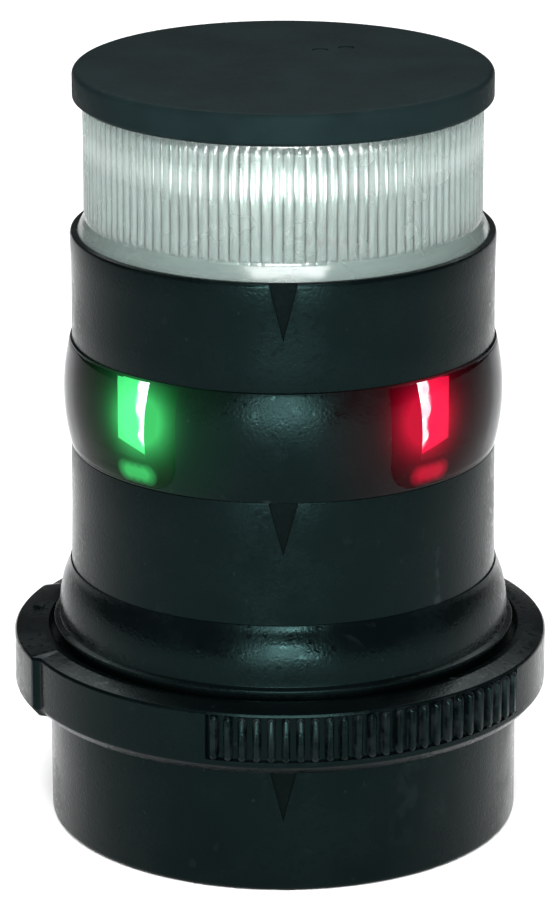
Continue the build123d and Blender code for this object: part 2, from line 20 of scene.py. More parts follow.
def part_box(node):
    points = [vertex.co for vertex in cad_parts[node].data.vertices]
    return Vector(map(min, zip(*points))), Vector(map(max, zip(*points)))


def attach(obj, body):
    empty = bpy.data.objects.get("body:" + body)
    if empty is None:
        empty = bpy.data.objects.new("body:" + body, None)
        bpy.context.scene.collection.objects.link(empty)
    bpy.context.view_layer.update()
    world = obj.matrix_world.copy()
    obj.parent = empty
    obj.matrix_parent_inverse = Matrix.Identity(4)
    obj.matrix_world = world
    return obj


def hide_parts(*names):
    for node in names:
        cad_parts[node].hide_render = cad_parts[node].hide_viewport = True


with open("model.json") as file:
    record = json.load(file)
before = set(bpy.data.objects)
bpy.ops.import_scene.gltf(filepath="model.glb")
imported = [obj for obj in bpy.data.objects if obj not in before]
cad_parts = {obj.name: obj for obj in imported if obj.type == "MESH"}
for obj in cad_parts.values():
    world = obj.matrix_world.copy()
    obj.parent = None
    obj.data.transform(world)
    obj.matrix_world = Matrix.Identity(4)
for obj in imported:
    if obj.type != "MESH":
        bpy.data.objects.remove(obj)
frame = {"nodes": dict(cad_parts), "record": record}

MM = 0.001
SEGMENTS = 256
LOG = logging.getLogger("navigation_light")
WHITE = (1.0, 1.0, 1.0)

Point = tuple[float, float]
Corner = tuple[float, float, float]
Colour = tuple[float, float, float]
Place = tuple[float, float, float]
Socket = bpy.types.NodeSocket
Piece = bpy.types.Object
Material = bpy.types.Material


class Side(Enum):
    """The three sectors of the band, by the azimuth of their boards."""

    STARBOARD = "starboard"
    PORT = "port"
    STERN = "stern"


class Body(Enum):
    """The rigid bodies of the frame."""

    BASE = "base"
    RING = "ring"
    HEAD = "head"


LUG_AZIMUTHS = (-90.0, 30.0, 150.0)


# Colours of the lamps' glow, painted on the boards, windows and band.
LAMP_COLOURS: dict[Side, Colour] = {
    Side.STARBOARD: (0.09, 1.0, 0.24),
    Side.PORT: (1.0, 0.008, 0.055),
    Side.STERN: (1.0, 0.97, 0.93),
}


# ---- Node trees ------------------------------------------------------------------------------
class Graph:
    """A node tree with short calls for adding and joining nodes."""

    def __init__(self, tree: bpy.types.NodeTree) -> None:
        """Wraps a node tree."""
        self.tree = tree

    def add(self, kind: str, **settings: object) -> bpy.types.Node:
        """Adds a node and sets its properties.

        Args:
            kind: the node's type name.
            settings: property values.

        Returns:
            The new node.
        """
        node = self.tree.nodes.new(kind)
        for name, value in settings.items():
            setattr(node, name, value)
        return node

    def feed(self, socket: Socket, value: object) -> None:
        """Joins a socket to another, or gives it a plain value.

        Args:
            socket: the input to fill.
            value: an output socket, a number or a tuple.
        """
        if isinstance(value, bpy.types.NodeSocket):
            self.tree.links.new(value, socket)
        else:
            socket.default_value = value

    def math(self, operation: str, first: object, second: object = 0.0, clamp: bool = False) -> Socket:
        """Adds a math node.

        Args:
            operation: the node's operation.
            first: first operand.
            second: second operand.
            clamp: whether the result stays between 0 and 1.

        Returns:
            The node's output.
        """
        node = self.add("ShaderNodeMath", operation=operation, use_clamp=clamp)
        self.feed(node.inputs[0], first)
        self.feed(node.inputs[1], second)
        return node.outputs[0]

    def ramp(self, value: object, low: float, high: float, start: float = 0.0, end: float = 1.0) -> Socket:
        """Maps a value smoothly from one range to another.

        Args:
            value: the value to map.
            low: value that gives start.
            high: value that gives end.
            start: result at low.
            end: result at high.

        Returns:
            The mapped value.
        """
        node = self.add("ShaderNodeMapRange", interpolation_type="SMOOTHSTEP")
        for socket, item in zip(node.inputs, (value, low, high, start, end)):
            self.feed(socket, item)
        return node.outputs[0]

    def blend(self, factor: object, first: object, second: object) -> Socket:
        """Mixes two colours.

        Args:
            factor: how much of the second colour shows.
            first: first colour.
            second: second colour.

        Returns:
            The mixed colour.
        """
        node = self.add("ShaderNodeMix", data_type="RGBA")
        self.feed(node.inputs[0], factor)
        self.feed(node.inputs[6], first)
        self.feed(node.inputs[7], second)
        return node.outputs[2]

    def noise(self, vector: Socket, scale: object, detail: float = 2.0) -> Socket:
        """Adds a noise texture.

        Args:
            vector: the coordinates that it reads.
            scale: its scale.
            detail: its detail.

        Returns:
            The noise, about 0.5 in the middle.
        """
        node = self.add("ShaderNodeTexNoise")
        self.feed(node.inputs["Vector"], vector)
        self.feed(node.inputs["Scale"], scale)
        node.inputs["Detail"].default_value = detail
        return node.outputs["Fac"]

    def vector(self, operation: str, first: object, second: object, slot: int = 1) -> bpy.types.Node:
        """Adds a vector math node.

        Args:
            operation: the node's operation.
            first: first operand.
            second: second operand.
            slot: index of the second operand's socket, 3 for a scale.

        Returns:
            The node.
        """
        node = self.add("ShaderNodeVectorMath", operation=operation)
        self.feed(node.inputs[0], first)
        self.feed(node.inputs[slot], second)
        return node

    def stretched(self, vector: Socket, scale: Place, turn: Place = (0.0, 0.0, 0.0)) -> Socket:
        """Scales and turns coordinates.

        Args:
            vector: the coordinates.
            scale: factor along each axis.
            turn: rotation about each axis, in radians.

        Returns:
            The changed coordinates.
        """
        node = self.add("ShaderNodeMapping")
        self.feed(node.inputs["Vector"], vector)
        node.inputs["Rotation"].default_value = turn
        node.inputs["Scale"].default_value = scale
        return node.outputs["Vector"]


def rgba(colour: Colour, share: float = 1.0) -> tuple[float, float, float, float]:
    """The colour, dimmed to a share of itself, with full alpha."""
    return (*(min(1.0, share * part) for part in colour), 1.0)


class Effects:
    """Shader node groups that several finishes share. Each is built once."""

    _groups: dict[str, bpy.types.NodeTree] = {}

    @classmethod
    def get(cls, name: str) -> bpy.types.NodeTree:
        """Returns the named group, built on first use.

        Args:
            name: grain, wear, dust or glow.

        Returns:
            The group's tree.
        """
        if name not in cls._groups:
            cls._groups[name] = getattr(cls, f"_build_{name}")()
        return cls._groups[name]

    @staticmethod
    def _open(
        name: str, numbers: dict[str, float], outputs: Sequence[str], vectors: Sequence[str] = ("Vector",)
    ) -> tuple[Graph, bpy.types.Node, bpy.types.Node]:
        """Starts a group with its sockets.

        Args:
            name: the group's name.
            numbers: names and defaults of the number inputs.
            outputs: names of the number outputs.
            vectors: names of the vector inputs.

        Returns:
            The graph, its input node and its output node.
        """
        tree = bpy.data.node_groups.new(name, "ShaderNodeTree")
        for label in vectors:
            tree.interface.new_socket(label, in_out="INPUT", socket_type="NodeSocketVector")
        for label, default in numbers.items():
            socket = tree.interface.new_socket(label, in_out="INPUT", socket_type="NodeSocketFloat")
            socket.default_value = default
        for label in outputs:
            tree.interface.new_socket(label, in_out="OUTPUT", socket_type="NodeSocketFloat")
        graph = Graph(tree)
        return graph, graph.add("NodeGroupInput"), graph.add("NodeGroupOutput")

    @classmethod
    def _build_grain(cls) -> bpy.types.NodeTree:
        """Moulded grain: a fine relief, a slow change of tone and sparse bright facets."""
        graph, source, sink = cls._open("moulded_grain", {"Scale": 2200.0}, ["Height", "Tone", "Facets"])
        place, scale = source.outputs["Vector"], source.outputs["Scale"]
        fine = graph.noise(place, scale, 3.0)
        slow = graph.noise(place, graph.math("MULTIPLY", scale, 0.05), 4.0)
        cells = graph.add("ShaderNodeTexVoronoi", feature="F1")
        graph.feed(cells.inputs["Vector"], place)
        graph.feed(cells.inputs["Scale"], graph.math("MULTIPLY", scale, 0.75))
        pits = graph.ramp(cells.outputs["Distance"], 0.1, 0.6)
        height = graph.math("ADD", graph.math("MULTIPLY", fine, 0.7), graph.math("MULTIPLY", pits, 0.3))
        pick = graph.add("ShaderNodeSeparateColor")
        graph.feed(pick.inputs[0], cells.outputs["Color"])
        graph.feed(sink.inputs["Height"], height)
        graph.feed(sink.inputs["Tone"], graph.ramp(slow, 0.3, 0.7))
        graph.feed(sink.inputs["Facets"], graph.ramp(pick.outputs[0], 0.8, 0.95))
        return graph.tree

    @classmethod
    def _build_wear(cls) -> bpy.types.NodeTree:
        """Edge wear: the convex edges, broken up by noise."""
        graph, source, sink = cls._open("edge_wear", {"Amount": 0.5}, ["Mask"])
        shape = graph.add("ShaderNodeNewGeometry")
        edge = graph.ramp(shape.outputs["Pointiness"], 0.52, 0.62)
        patchy = graph.ramp(graph.noise(source.outputs["Vector"], 420.0, 5.0), 0.4, 0.65)
        mask = graph.math("MULTIPLY", edge, patchy)
        graph.feed(sink.inputs["Mask"], graph.math("MULTIPLY", mask, source.outputs["Amount"], True))
        return graph.tree

    @classmethod
    def _build_dust(cls) -> bpy.types.NodeTree:
        """Dust and fine scuffs: sparse specks and short streaks."""
        graph, source, sink = cls._open("dust_and_scuffs", {"Amount": 0.5}, ["Mask"])
        place = source.outputs["Vector"]
        specks = graph.add("ShaderNodeTexVoronoi", feature="F1")
        graph.feed(specks.inputs["Vector"], place)
        specks.inputs["Scale"].default_value = 260.0
        streaks = graph.noise(graph.stretched(place, (60.0, 1400.0, 400.0), (0.3, 0.2, 0.7)), 1.0)
        speck = graph.ramp(specks.outputs["Distance"], 0.08, 0.03)
        streak = graph.ramp(streaks, 0.68, 0.78)
        mask = graph.math("MAXIMUM", speck, graph.math("MULTIPLY", streak, 0.5))
        graph.feed(sink.inputs["Mask"], graph.math("MULTIPLY", mask, source.outputs["Amount"], True))
        return graph.tree

    @classmethod
    def _build_glow(cls) -> bpy.types.NodeTree:
        """Mask of a painted lamp glow that spreads from a point: 1 at the centre, 0 at the radius."""
        numbers = {"Radius": 0.005, "Falloff": 2.0}
        graph, source, sink = cls._open("lamp_glow", numbers, ["Mask"], ["Vector", "Centre"])
        gap = graph.vector("DISTANCE", source.outputs["Vector"], source.outputs["Centre"])
        share = graph.math("DIVIDE", gap.outputs["Value"], source.outputs["Radius"])
        near = graph.math("SUBTRACT", 1.0, share, True)
        graph.feed(sink.inputs["Mask"], graph.math("POWER", near, source.outputs["Falloff"]))
        return graph.tree


@dataclass(frozen=True)
class Glow:
    """A lamp's glow, painted into the emission of the surface around it."""

    centre: Place
    radius: float
    strength: float
    falloff: float = 2.0


# ---- Finishes --------------------------------------------------------------------------------
class Finish:
    """A finish that can make its material."""

    name: str

    def start(self) -> tuple[Material, Graph, bpy.types.Node, Socket]:
        """Opens a new material with a Principled shader.

        Returns:
            The material, its graph, the shader and the Object coordinates.
        """
        material = bpy.data.materials.new(self.name)
        material.use_nodes = True
        graph = Graph(material.node_tree)
        place = graph.add("ShaderNodeTexCoord")
        return material, graph, graph.tree.nodes["Principled BSDF"], place.outputs["Object"]

    def effect(self, graph: Graph, name: str, place: Socket, **values: object) -> bpy.types.Node:
        """Places a shared effect in the material.

        Args:
            graph: the material's graph.
            name: the effect's name.
            place: the coordinates that it reads.
            values: values of its inputs.

        Returns:
            The group node.
        """
        node = graph.add("ShaderNodeGroup", node_tree=Effects.get(name))
        graph.feed(node.inputs["Vector"], place)
        for label, value in values.items():
            graph.feed(node.inputs[label], value)
        return node

    def relief(
        self, graph: Graph, shader: bpy.types.Node, height: Socket, strength: float, depth: float
    ) -> None:
        """Feeds a height to the shader's normal.

        Args:
            graph: the material's graph.
            shader: the Principled shader.
            height: the height, from 0 to 1.
            strength: the bump's strength.
            depth: the height's real size, in metres.
        """
        bump = graph.add("ShaderNodeBump")
        bump.inputs["Strength"].default_value = strength
        bump.inputs["Distance"].default_value = depth
        graph.feed(bump.inputs["Height"], height)
        graph.feed(shader.inputs["Normal"], bump.outputs["Normal"])

    def paint_glow(
        self, graph: Graph, shader: bpy.types.Node, place: Socket,
        lights: Sequence[tuple[Colour, Sequence[Glow]]], hot: float = 0.0, limit: float = 10.0,
        gain: float = 1.0,
    ) -> None:
        """Paints the glow of nearby lamps into the shader's emission.

        Args:
            graph: the material's graph.
            shader: the Principled shader.
            place: the Object coordinates.
            lights: each colour and where its painted glow falls.
            hot: how far the brightest places turn white.
            limit: brightest level of any colour.
            gain: the emission's strength.
        """
        sum_of_colours: object = (0.0, 0.0, 0.0)
        for colour, glows in lights:
            total: object = 0.0
            for glow in glows:
                values = {"Centre": glow.centre, "Radius": glow.radius, "Falloff": glow.falloff}
                spread = self.effect(graph, "glow", place, **values)
                share = graph.math("MULTIPLY", spread.outputs["Mask"], glow.strength)
                total = graph.math("ADD", share, total)
            total = graph.math("MINIMUM", total, limit)
            tint = graph.blend(graph.ramp(total, 1.0, 1.9, 0.0, hot), rgba(colour), rgba(WHITE))
            shade = graph.vector("SCALE", tint, total, 3)
            sum_of_colours = graph.vector("ADD", shade.outputs["Vector"], sum_of_colours).outputs["Vector"]
        graph.feed(shader.inputs["Emission Color"], sum_of_colours)
        shader.inputs["Emission Strength"].default_value = gain

    def make(self) -> Material:
        """Makes the material."""
        raise NotImplementedError


@dataclass(frozen=True)
class MouldedPlastic(Finish):
    """Moulded plastic or rubber with grain, worn edges and a little dust, and with painted lamp glow where spills are
    given.
    """

    name: str
    colour: Colour
    pale: Colour
    roughness: float = 0.25
    specular: float = 0.06
    tint: Colour = (0.45, 1.0, 0.98)
    grain_scale: float = 2300.0
    grain_depth: float = 0.000026
    wear: float = 0.35
    dust: float = 0.12
    facets: float = 0.12
    spills: tuple[tuple[Side, tuple[Glow, ...]], ...] = ()

    def make(self) -> Material:
        """Makes the plastic's material."""
        material, graph, shader, place = self.start()
        grain = self.effect(graph, "grain", place, Scale=self.grain_scale)
        wear = self.effect(graph, "wear", place, Amount=self.wear)
        dust = self.effect(graph, "dust", place, Amount=self.dust)
        body = graph.blend(grain.outputs["Tone"], rgba(self.colour, 0.7), rgba(self.colour))
        worn = graph.blend(wear.outputs["Mask"], body, rgba(self.pale))
        graph.feed(shader.inputs["Base Color"], graph.blend(dust.outputs["Mask"], worn, rgba(self.pale)))
        rough = graph.ramp(grain.outputs["Tone"], 0.0, 1.0, self.roughness - 0.05, self.roughness + 0.06)
        bright = graph.math("MULTIPLY", grain.outputs["Facets"], -self.facets)
        graph.feed(shader.inputs["Roughness"], graph.math("ADD", rough, bright, True))
        shader.inputs["Specular IOR Level"].default_value = self.specular
        shader.inputs["Specular Tint"].default_value = rgba(self.tint)
        self.relief(graph, shader, grain.outputs["Height"], 1.0, self.grain_depth)
        # Painted lamp glow: the sector lamps' light painted into the emission round the windows.
        if self.spills:
            lights = [(LAMP_COLOURS[side], glows) for side, glows in self.spills]
            self.paint_glow(graph, shader, place, lights)
        return material


@dataclass(frozen=True)
class ClearPlastic(Finish):
    """Clear moulded plastic: it refracts, with faint flow marks, painted shade in its flute valleys where flutes are
    given, and painted lamp glow where glows are given.
    """

    name: str
    colour: Colour
    roughness: float = 0.05
    ior: float = 1.49
    transmission: float = 1.0
    flow_scale: float = 160.0
    flow_depth: float = 0.00001
    flutes: float = 0.0
    flute_low: float = 0.0874
    glow_height: float = 0.0
    glow_colour: Colour = WHITE
    glows: tuple[Glow, ...] = ()
    glow_limit: float = 10.0

    def make(self) -> Material:
        """Makes the clear plastic's material."""
        material, graph, shader, place = self.start()
        flow = graph.noise(place, self.flow_scale)
        haze = graph.ramp(flow, 0.3, 0.7, self.roughness * 0.6, self.roughness * 1.5)
        graph.feed(shader.inputs["Roughness"], haze)
        body = graph.blend(flow, rgba(self.colour, 0.94), rgba(self.colour))
        # Painted shade: the colour darkens to 0.3 of itself in each flute valley, for the dark lines of the flutes.
        if self.flutes:
            body = graph.blend(self.crest(graph, place), rgba(self.colour, 0.3), body)
        graph.feed(shader.inputs["Base Color"], body)
        shader.inputs["IOR"].default_value = self.ior
        shader.inputs["Transmission Weight"].default_value = self.transmission
        self.relief(graph, shader, flow, 1.0, self.flow_depth)
        # Painted lamp glow in the emission: round given points, and as a ring at glow_height.
        if self.glows:
            self.paint_glow(graph, shader, place, [(self.glow_colour, self.glows)], limit=self.glow_limit)
        if self.glow_height:
            level = graph.vector("MULTIPLY", place, (0.0, 0.0, 1.0)).outputs["Vector"]
            self.paint_glow(graph, shader, level, [(self.glow_colour, self.glow_rings())])
        return material

    def glow_rings(self) -> tuple[Glow, ...]:
        """The painted glow of the lamps round a lens: a bright ring and a fainter glow over it."""
        middle = (0.0, 0.0, self.glow_height)
        return (Glow(middle, 0.0022, 0.07, 0.7), Glow(middle, 0.009, 0.03, 1.0))

    def crest(self, graph: Graph, place: Socket) -> Socket:
        """How near a place is to the crest of an upright flute, from 0 to 1, and 1 below the flutes; where it is low,
        the valleys get their painted shade.

        Args:
            graph: the material's graph.
            place: the Object coordinates.

        Returns:
            The mask.
        """
        parts = graph.add("ShaderNodeSeparateXYZ")
        graph.feed(parts.inputs[0], place)
        angle = graph.math("ARCTAN2", parts.outputs[0], graph.math("MULTIPLY", parts.outputs[1], -1.0))
        wave = graph.math("ABSOLUTE", graph.math("SINE", graph.math("MULTIPLY", angle, self.flutes / 2)))
        plain = graph.ramp(parts.outputs[2], self.flute_low, self.flute_low - 0.0002)
        return graph.math("MAXIMUM", graph.ramp(wave, 0.0, 0.55), plain)


@dataclass(frozen=True)
class GlowPaintedBoard(Finish):
    """White solder mask with the lamps' glow painted into its emission, and faint copper tracks under it."""

    name: str
    colour: Colour
    lamp: Colour
    glows: tuple[Glow, ...]
    hot: float = 0.9
    gain: float = 20.0

    def make(self) -> Material:
        """Makes the board's material."""
        material, graph, shader, place = self.start()
        tracks = graph.add("ShaderNodeTexBrick")
        graph.feed(tracks.inputs["Vector"], place)
        tracks.inputs["Scale"].default_value = 420.0
        tracks.inputs["Color1"].default_value = rgba(self.colour)
        tracks.inputs["Color2"].default_value = rgba(self.colour, 0.92)
        tracks.inputs["Mortar"].default_value = rgba(self.colour, 0.8)
        graph.feed(shader.inputs["Base Color"], tracks.outputs["Color"])
        shader.inputs["Roughness"].default_value = 0.35
        self.relief(graph, shader, tracks.outputs["Fac"], 0.4, 0.00002)
        self.paint_glow(graph, shader, place, [(self.lamp, self.glows)], self.hot, gain=self.gain)
        return material


@dataclass(frozen=True)
class LampPackage(Finish):
    """A lit lamp: its dome glows, with a faint patchy change in level."""

    name: str
    colour: Colour
    lamp: Colour
    strength: float

    def make(self) -> Material:
        """Makes the lamp's material."""
        material, graph, shader, place = self.start()
        level = graph.ramp(graph.noise(place, 900.0), 0.3, 0.7, 0.75, 1.0)
        shade = graph.vector("SCALE", self.lamp, level, 3)
        graph.feed(shader.inputs["Emission Color"], shade.outputs["Vector"])
        shader.inputs["Emission Strength"].default_value = self.strength
        graph.feed(shader.inputs["Base Color"], graph.blend(level, rgba(self.lamp), rgba(self.colour)))
        shader.inputs["Roughness"].default_value = 0.25
        return material


@dataclass(frozen=True)
class Metal(Finish):
    """Machined or plated metal with fine turning marks."""

    name: str
    colour: Colour
    roughness: float = 0.3
    mark_scale: float = 3000.0

    def make(self) -> Material:
        """Makes the metal's material."""
        material, graph, shader, place = self.start()
        marks = graph.noise(graph.stretched(place, (0.08, 0.08, 1.0)), self.mark_scale, 4.0)
        wear = self.effect(graph, "wear", place, Amount=0.5)
        base = graph.blend(marks, rgba(self.colour, 0.72), rgba(self.colour))
        bright = graph.blend(wear.outputs["Mask"], base, rgba(self.colour, 1.15))
        graph.feed(shader.inputs["Base Color"], bright)
        rough = graph.ramp(marks, 0.3, 0.7, self.roughness * 0.8, self.roughness * 1.3)
        graph.feed(shader.inputs["Roughness"], rough)
        shader.inputs["Metallic"].default_value = 1.0
        self.relief(graph, shader, marks, 0.5, 0.000006)
        return material


# ---- Mesh helpers ----------------------------------------------------------------------------
@lru_cache(maxsize=None)
def node_box(node: str) -> tuple[Vector, Vector]:
    """The lowest and highest corners of a CAD node, measured once.

    Args:
        node: the node's name.

    Returns:
        Both corners, in metres.
    """
    low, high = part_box(node)
    return Vector(low), Vector(high)


def spot(azimuth: float, radius: float, height: float) -> Place:
    """The place, in metres, at an azimuth in degrees and a radius and height in millimetres."""
    angle = math.radians(azimuth)
    return (radius * math.sin(angle) * MM, -radius * math.cos(angle) * MM, height * MM)


def rounded(corners: Sequence[Corner], steps: int = 4) -> list[Point]:
    """Rounds the corners of a closed outline.

    Args:
        corners: radius, height and rounding of each corner.
        steps: number of spans in each rounding.

    Returns:
        The outline's points.
    """
    outline: list[Point] = []
    count = len(corners)
    for index, (radius, height, size) in enumerate(corners):
        here = Vector((radius, height))
        if size <= 0.0:
            outline.append((radius, height))
            continue
        before = (Vector(corners[index - 1][:2]) - here).normalized()
        after = (Vector(corners[(index + 1) % count][:2]) - here).normalized()
        half = before.angle(after) / 2
        reach = size / math.tan(half)
        middle = here + (before + after).normalized() * (size / math.sin(half))
        first, last = here + before * reach - middle, here + after * reach - middle
        sweep = first.angle_signed(last)
        for step in range(steps + 1):
            reached = first.copy()
            reached.rotate(Matrix.Rotation(-sweep * step / steps, 2))
            outline.append(tuple(middle + reached))
    return outline


def new_object(name: str, build: bmesh.types.BMesh) -> Piece:
    """Turns a bmesh into an object in the scene, with its faces outwards.

    Args:
        name: the object's name.
        build: the mesh under construction, which is freed.

    Returns:
        The object.
    """
    bmesh.ops.recalc_face_normals(build, faces=build.faces)
    mesh = bpy.data.meshes.new(name)
    build.to_mesh(mesh)
    build.free()
    piece = bpy.data.objects.new(name, mesh)
    bpy.context.scene.collection.objects.link(piece)
    return piece


def smooth(piece: Piece, angle: float = 32.0) -> Piece:
    """Shades a piece smooth except at its sharp edges.

    Args:
        piece: the object.
        angle: least angle of a sharp edge, in degrees.

    Returns:
        The same object.
    """
    piece.data.shade_smooth()
    piece.data.set_sharp_from_angle(angle=math.radians(angle))
    return piece


def bridge(
    build: bmesh.types.BMesh, here: Sequence[bmesh.types.BMVert], there: Sequence[bmesh.types.BMVert]
) -> None:
    """Joins two closed loops of the same length with quads.

    Args:
        build: the mesh under construction.
        here: first loop.
        there: second loop.
    """
    for index in range(len(here)):
        after = (index + 1) % len(here)
        build.faces.new([here[index], there[index], there[after], here[after]])


def lathe(name: str, outline: Sequence[Point], segments: int = SEGMENTS) -> Piece:
    """Turns a closed outline about the Z axis.

    Args:
        name: the object's name.
        outline: radius and height of each point, in millimetres.
        segments: number of steps round the axis.

    Returns:
        The turned object.
    """
    build = bmesh.new()
    loops = []
    for radius, height in outline:
        if radius < 1e-6:
            loops.append([build.verts.new((0.0, 0.0, height * MM))])
            continue
        places = [spot(360.0 * step / segments, radius, height) for step in range(segments)]
        loops.append([build.verts.new(place) for place in places])
    for lower, upper in zip(loops, loops[1:] + loops[:1]):
        if len(lower) == 1 and len(upper) == 1:
            continue
        for step in range(segments):
            after = (step + 1) % segments
            ring = [lower[step % len(lower)], lower[after % len(lower)]]
            ring += [upper[after % len(upper)], upper[step % len(upper)]]
            build.faces.new(list(dict.fromkeys(ring)))
    return new_object(name, build)


def plate_block(name: str, outline: Sequence[Point], near: float, far: float) -> Piece:
    """A prism at the bow side from an (x, z) outline, between two distances from the axis.

    Args:
        name: the object's name.
        outline: x and height of each point, in millimetres.
        near: nearest distance from the axis.
        far: farthest distance from the axis.

    Returns:
        The prism.
    """
    build = bmesh.new()
    inner = [build.verts.new((x * MM, -near * MM, z * MM)) for x, z in outline]
    outer = [build.verts.new((x * MM, -far * MM, z * MM)) for x, z in outline]
    build.faces.new(inner)
    build.faces.new(list(reversed(outer)))
    bridge(build, inner, outer)
    return new_object(name, build)


def turned(piece: Piece, azimuth: float) -> Piece:
    """Turns a piece's mesh from the bow side to an azimuth."""
    piece.data.transform(Matrix.Rotation(math.radians(azimuth), 4, "Z"))
    return piece


def settle(piece: Piece) -> Piece:
    """Turns a piece and its modifiers into a plain mesh.

    Args:
        piece: the object.

    Returns:
        The same object, with no modifiers.
    """
    graph = bpy.context.evaluated_depsgraph_get()
    mesh = bpy.data.meshes.new_from_object(piece.evaluated_get(graph))
    piece.modifiers.clear()
    old = piece.data
    piece.data = mesh
    bpy.data.meshes.remove(old)
    mesh.name = piece.name
    return piece


def bevel(piece: Piece, width: float, angle: float) -> Piece:
    """Rounds the sharp edges of a piece and keeps the plain mesh.

    Args:
        piece: the object.
        width: width of the rounding.
        angle: least angle of a rounded edge, in degrees.

    Returns:
        The same object.
    """
    edge = piece.modifiers.new("edge", "BEVEL")
    edge.width, edge.segments = width * MM, 2
    edge.limit_method, edge.angle_limit = "ANGLE", math.radians(angle)
    return settle(piece)


def merge(piece: Piece, part: Piece) -> None:
    """Adds a part's faces to a piece and deletes the part.

    Args:
        piece: the piece that grows.
        part: the part, of the same material.
    """
    build = bmesh.new()
    build.from_mesh(piece.data)
    build.from_mesh(part.data)
    build.to_mesh(piece.data)
    build.free()
    bpy.data.objects.remove(part, do_unlink=True)


def carve(piece: Piece, cutters: Sequence[Piece]) -> Piece:
    """Cuts other shapes out of a piece.

    Args:
        piece: the piece to cut.
        cutters: closed meshes, which are deleted.

    Returns:
        The cut piece.
    """
    for index, cutter in enumerate(cutters):
        if not cutter.data.materials:
            cutter.data.materials.append(piece.data.materials[0])
        cut = piece.modifiers.new(f"cut_{index}", "BOOLEAN")
        cut.operation = "DIFFERENCE"
        cut.solver = "EXACT"
        cut.object = cutter
        cut.material_mode = "TRANSFER"
    settle(piece)
    for cutter in cutters:
        bpy.data.objects.remove(cutter, do_unlink=True)
    return piece


def arrow_cutter(radius: float, top: float, tip: float, width: float, depth: float) -> Piece:
    """A triangular pocket that points down, for a barrel's bow side.

    Args:
        radius: the barrel's radius.
        top: height of the pocket's wide end.
        tip: height of its point.
        width: its width at the top.
        depth: its depth.

    Returns:
        The cutter.
    """
    outline = [(-width / 2, top), (width / 2, top), (0.0, tip)]
    return plate_block("arrow_cutter", outline, radius - depth, radius + 2.0)


def round_cutter(radius: float, low: float, high: float, azimuth: float, distance: float) -> Piece:
    """A vertical cylinder for cutting a hole.

    Args:
        radius: the hole's radius.
        low: height of its lower end.
        high: height of its upper end.
        azimuth: azimuth of its axis.
        distance: distance of its axis from the light's axis.

    Returns:
        The cutter.
    """
    build = bmesh.new()
    ends = {"radius1": radius * MM, "radius2": radius * MM, "depth": (high - low) * MM}
    bmesh.ops.create_cone(build, cap_ends=True, segments=48, **ends)
    bmesh.ops.translate(build, verts=build.verts, vec=spot(azimuth, distance, (low + high) / 2))
    return new_object("round_cutter", build)


def lead_hole(low: float, high: float) -> Piece:
    """The cutter of the hole for the anchor light's leads, between two heights."""
    return round_cutter(2.4, low, high, azimuth=32.0, distance=20.0)


def add_lamp(
    build: bmesh.types.BMesh, place: Place, package: Place, dome: float, lift: float, squash: float
) -> None:
    """Adds a lamp that faces the bow: a package with a dome on it.

    Args:
        build: the mesh under construction.
        place: x, distance from the axis and height of the spot that it stands on.
        package: the package's width, depth and height.
        dome: the dome's radius.
        lift: distance of the dome's centre from the spot.
        squash: the dome's depth as a share of its width.
    """
    x, face, z = place
    made = bmesh.ops.create_cube(build, size=1.0)["verts"]
    bmesh.ops.scale(build, verts=made, vec=[length * MM for length in package])
    bmesh.ops.translate(build, verts=made, vec=(x * MM, -(face + package[1] / 2) * MM, z * MM))
    made = bmesh.ops.create_uvsphere(build, u_segments=20, v_segments=10, radius=dome * MM)["verts"]
    bmesh.ops.scale(build, verts=made, vec=(1.0, squash, 1.0))
    bmesh.ops.translate(build, verts=made, vec=(x * MM, -(face + lift) * MM, z * MM))


class ShapeTree:
    """A geometry node tree, built once, that ends in plain geometry of one material."""

    name: str
    inputs: dict[str, str]
    _tree: Optional[bpy.types.NodeTree] = None

    @classmethod
    def tree(cls) -> bpy.types.NodeTree:
        """Builds the tree on first use and returns it."""
        if cls._tree is None:
            tree = bpy.data.node_groups.new(cls.name, "GeometryNodeTree")
            sockets = {"Geometry": "NodeSocketGeometry", **cls.inputs, "Material": "NodeSocketMaterial"}
            for label, kind in sockets.items():
                tree.interface.new_socket(label, in_out="INPUT", socket_type=kind)
            tree.interface.new_socket("Geometry", in_out="OUTPUT", socket_type="NodeSocketGeometry")
            graph = Graph(tree)
            source, sink = graph.add("NodeGroupInput"), graph.add("NodeGroupOutput")
            real = graph.add("GeometryNodeRealizeInstances")
            graph.feed(real.inputs[0], cls.shape(graph, source))
            dressed = graph.add("GeometryNodeSetMaterial")
            graph.feed(dressed.inputs["Geometry"], real.outputs[0])
            graph.feed(dressed.inputs["Material"], source.outputs["Material"])
            graph.feed(sink.inputs[0], dressed.outputs[0])
            cls._tree = tree
        return cls._tree

    @classmethod
    def shape(cls, graph: Graph, source: bpy.types.Node) -> Socket:
        """Builds the nodes that make the shape.

        Args:
            graph: the tree's graph.
            source: the node with the tree's inputs.

        Returns:
            The geometry.
        """
        raise NotImplementedError

    @classmethod
    def run(cls, piece: Piece, values: dict[str, object]) -> Piece:
        """Runs the tree on a piece and keeps the plain mesh.

        Args:
            piece: the object.
            values: values of the tree's named inputs.

        Returns:
            The same object.
        """
        modifier = piece.modifiers.new("shape", "NODES")
        modifier.node_group = cls.tree()
        for item in modifier.node_group.interface.items_tree:
            if item.in_out == "INPUT" and item.name in values:
                modifier[item.identifier] = values[item.name]
        return settle(piece)


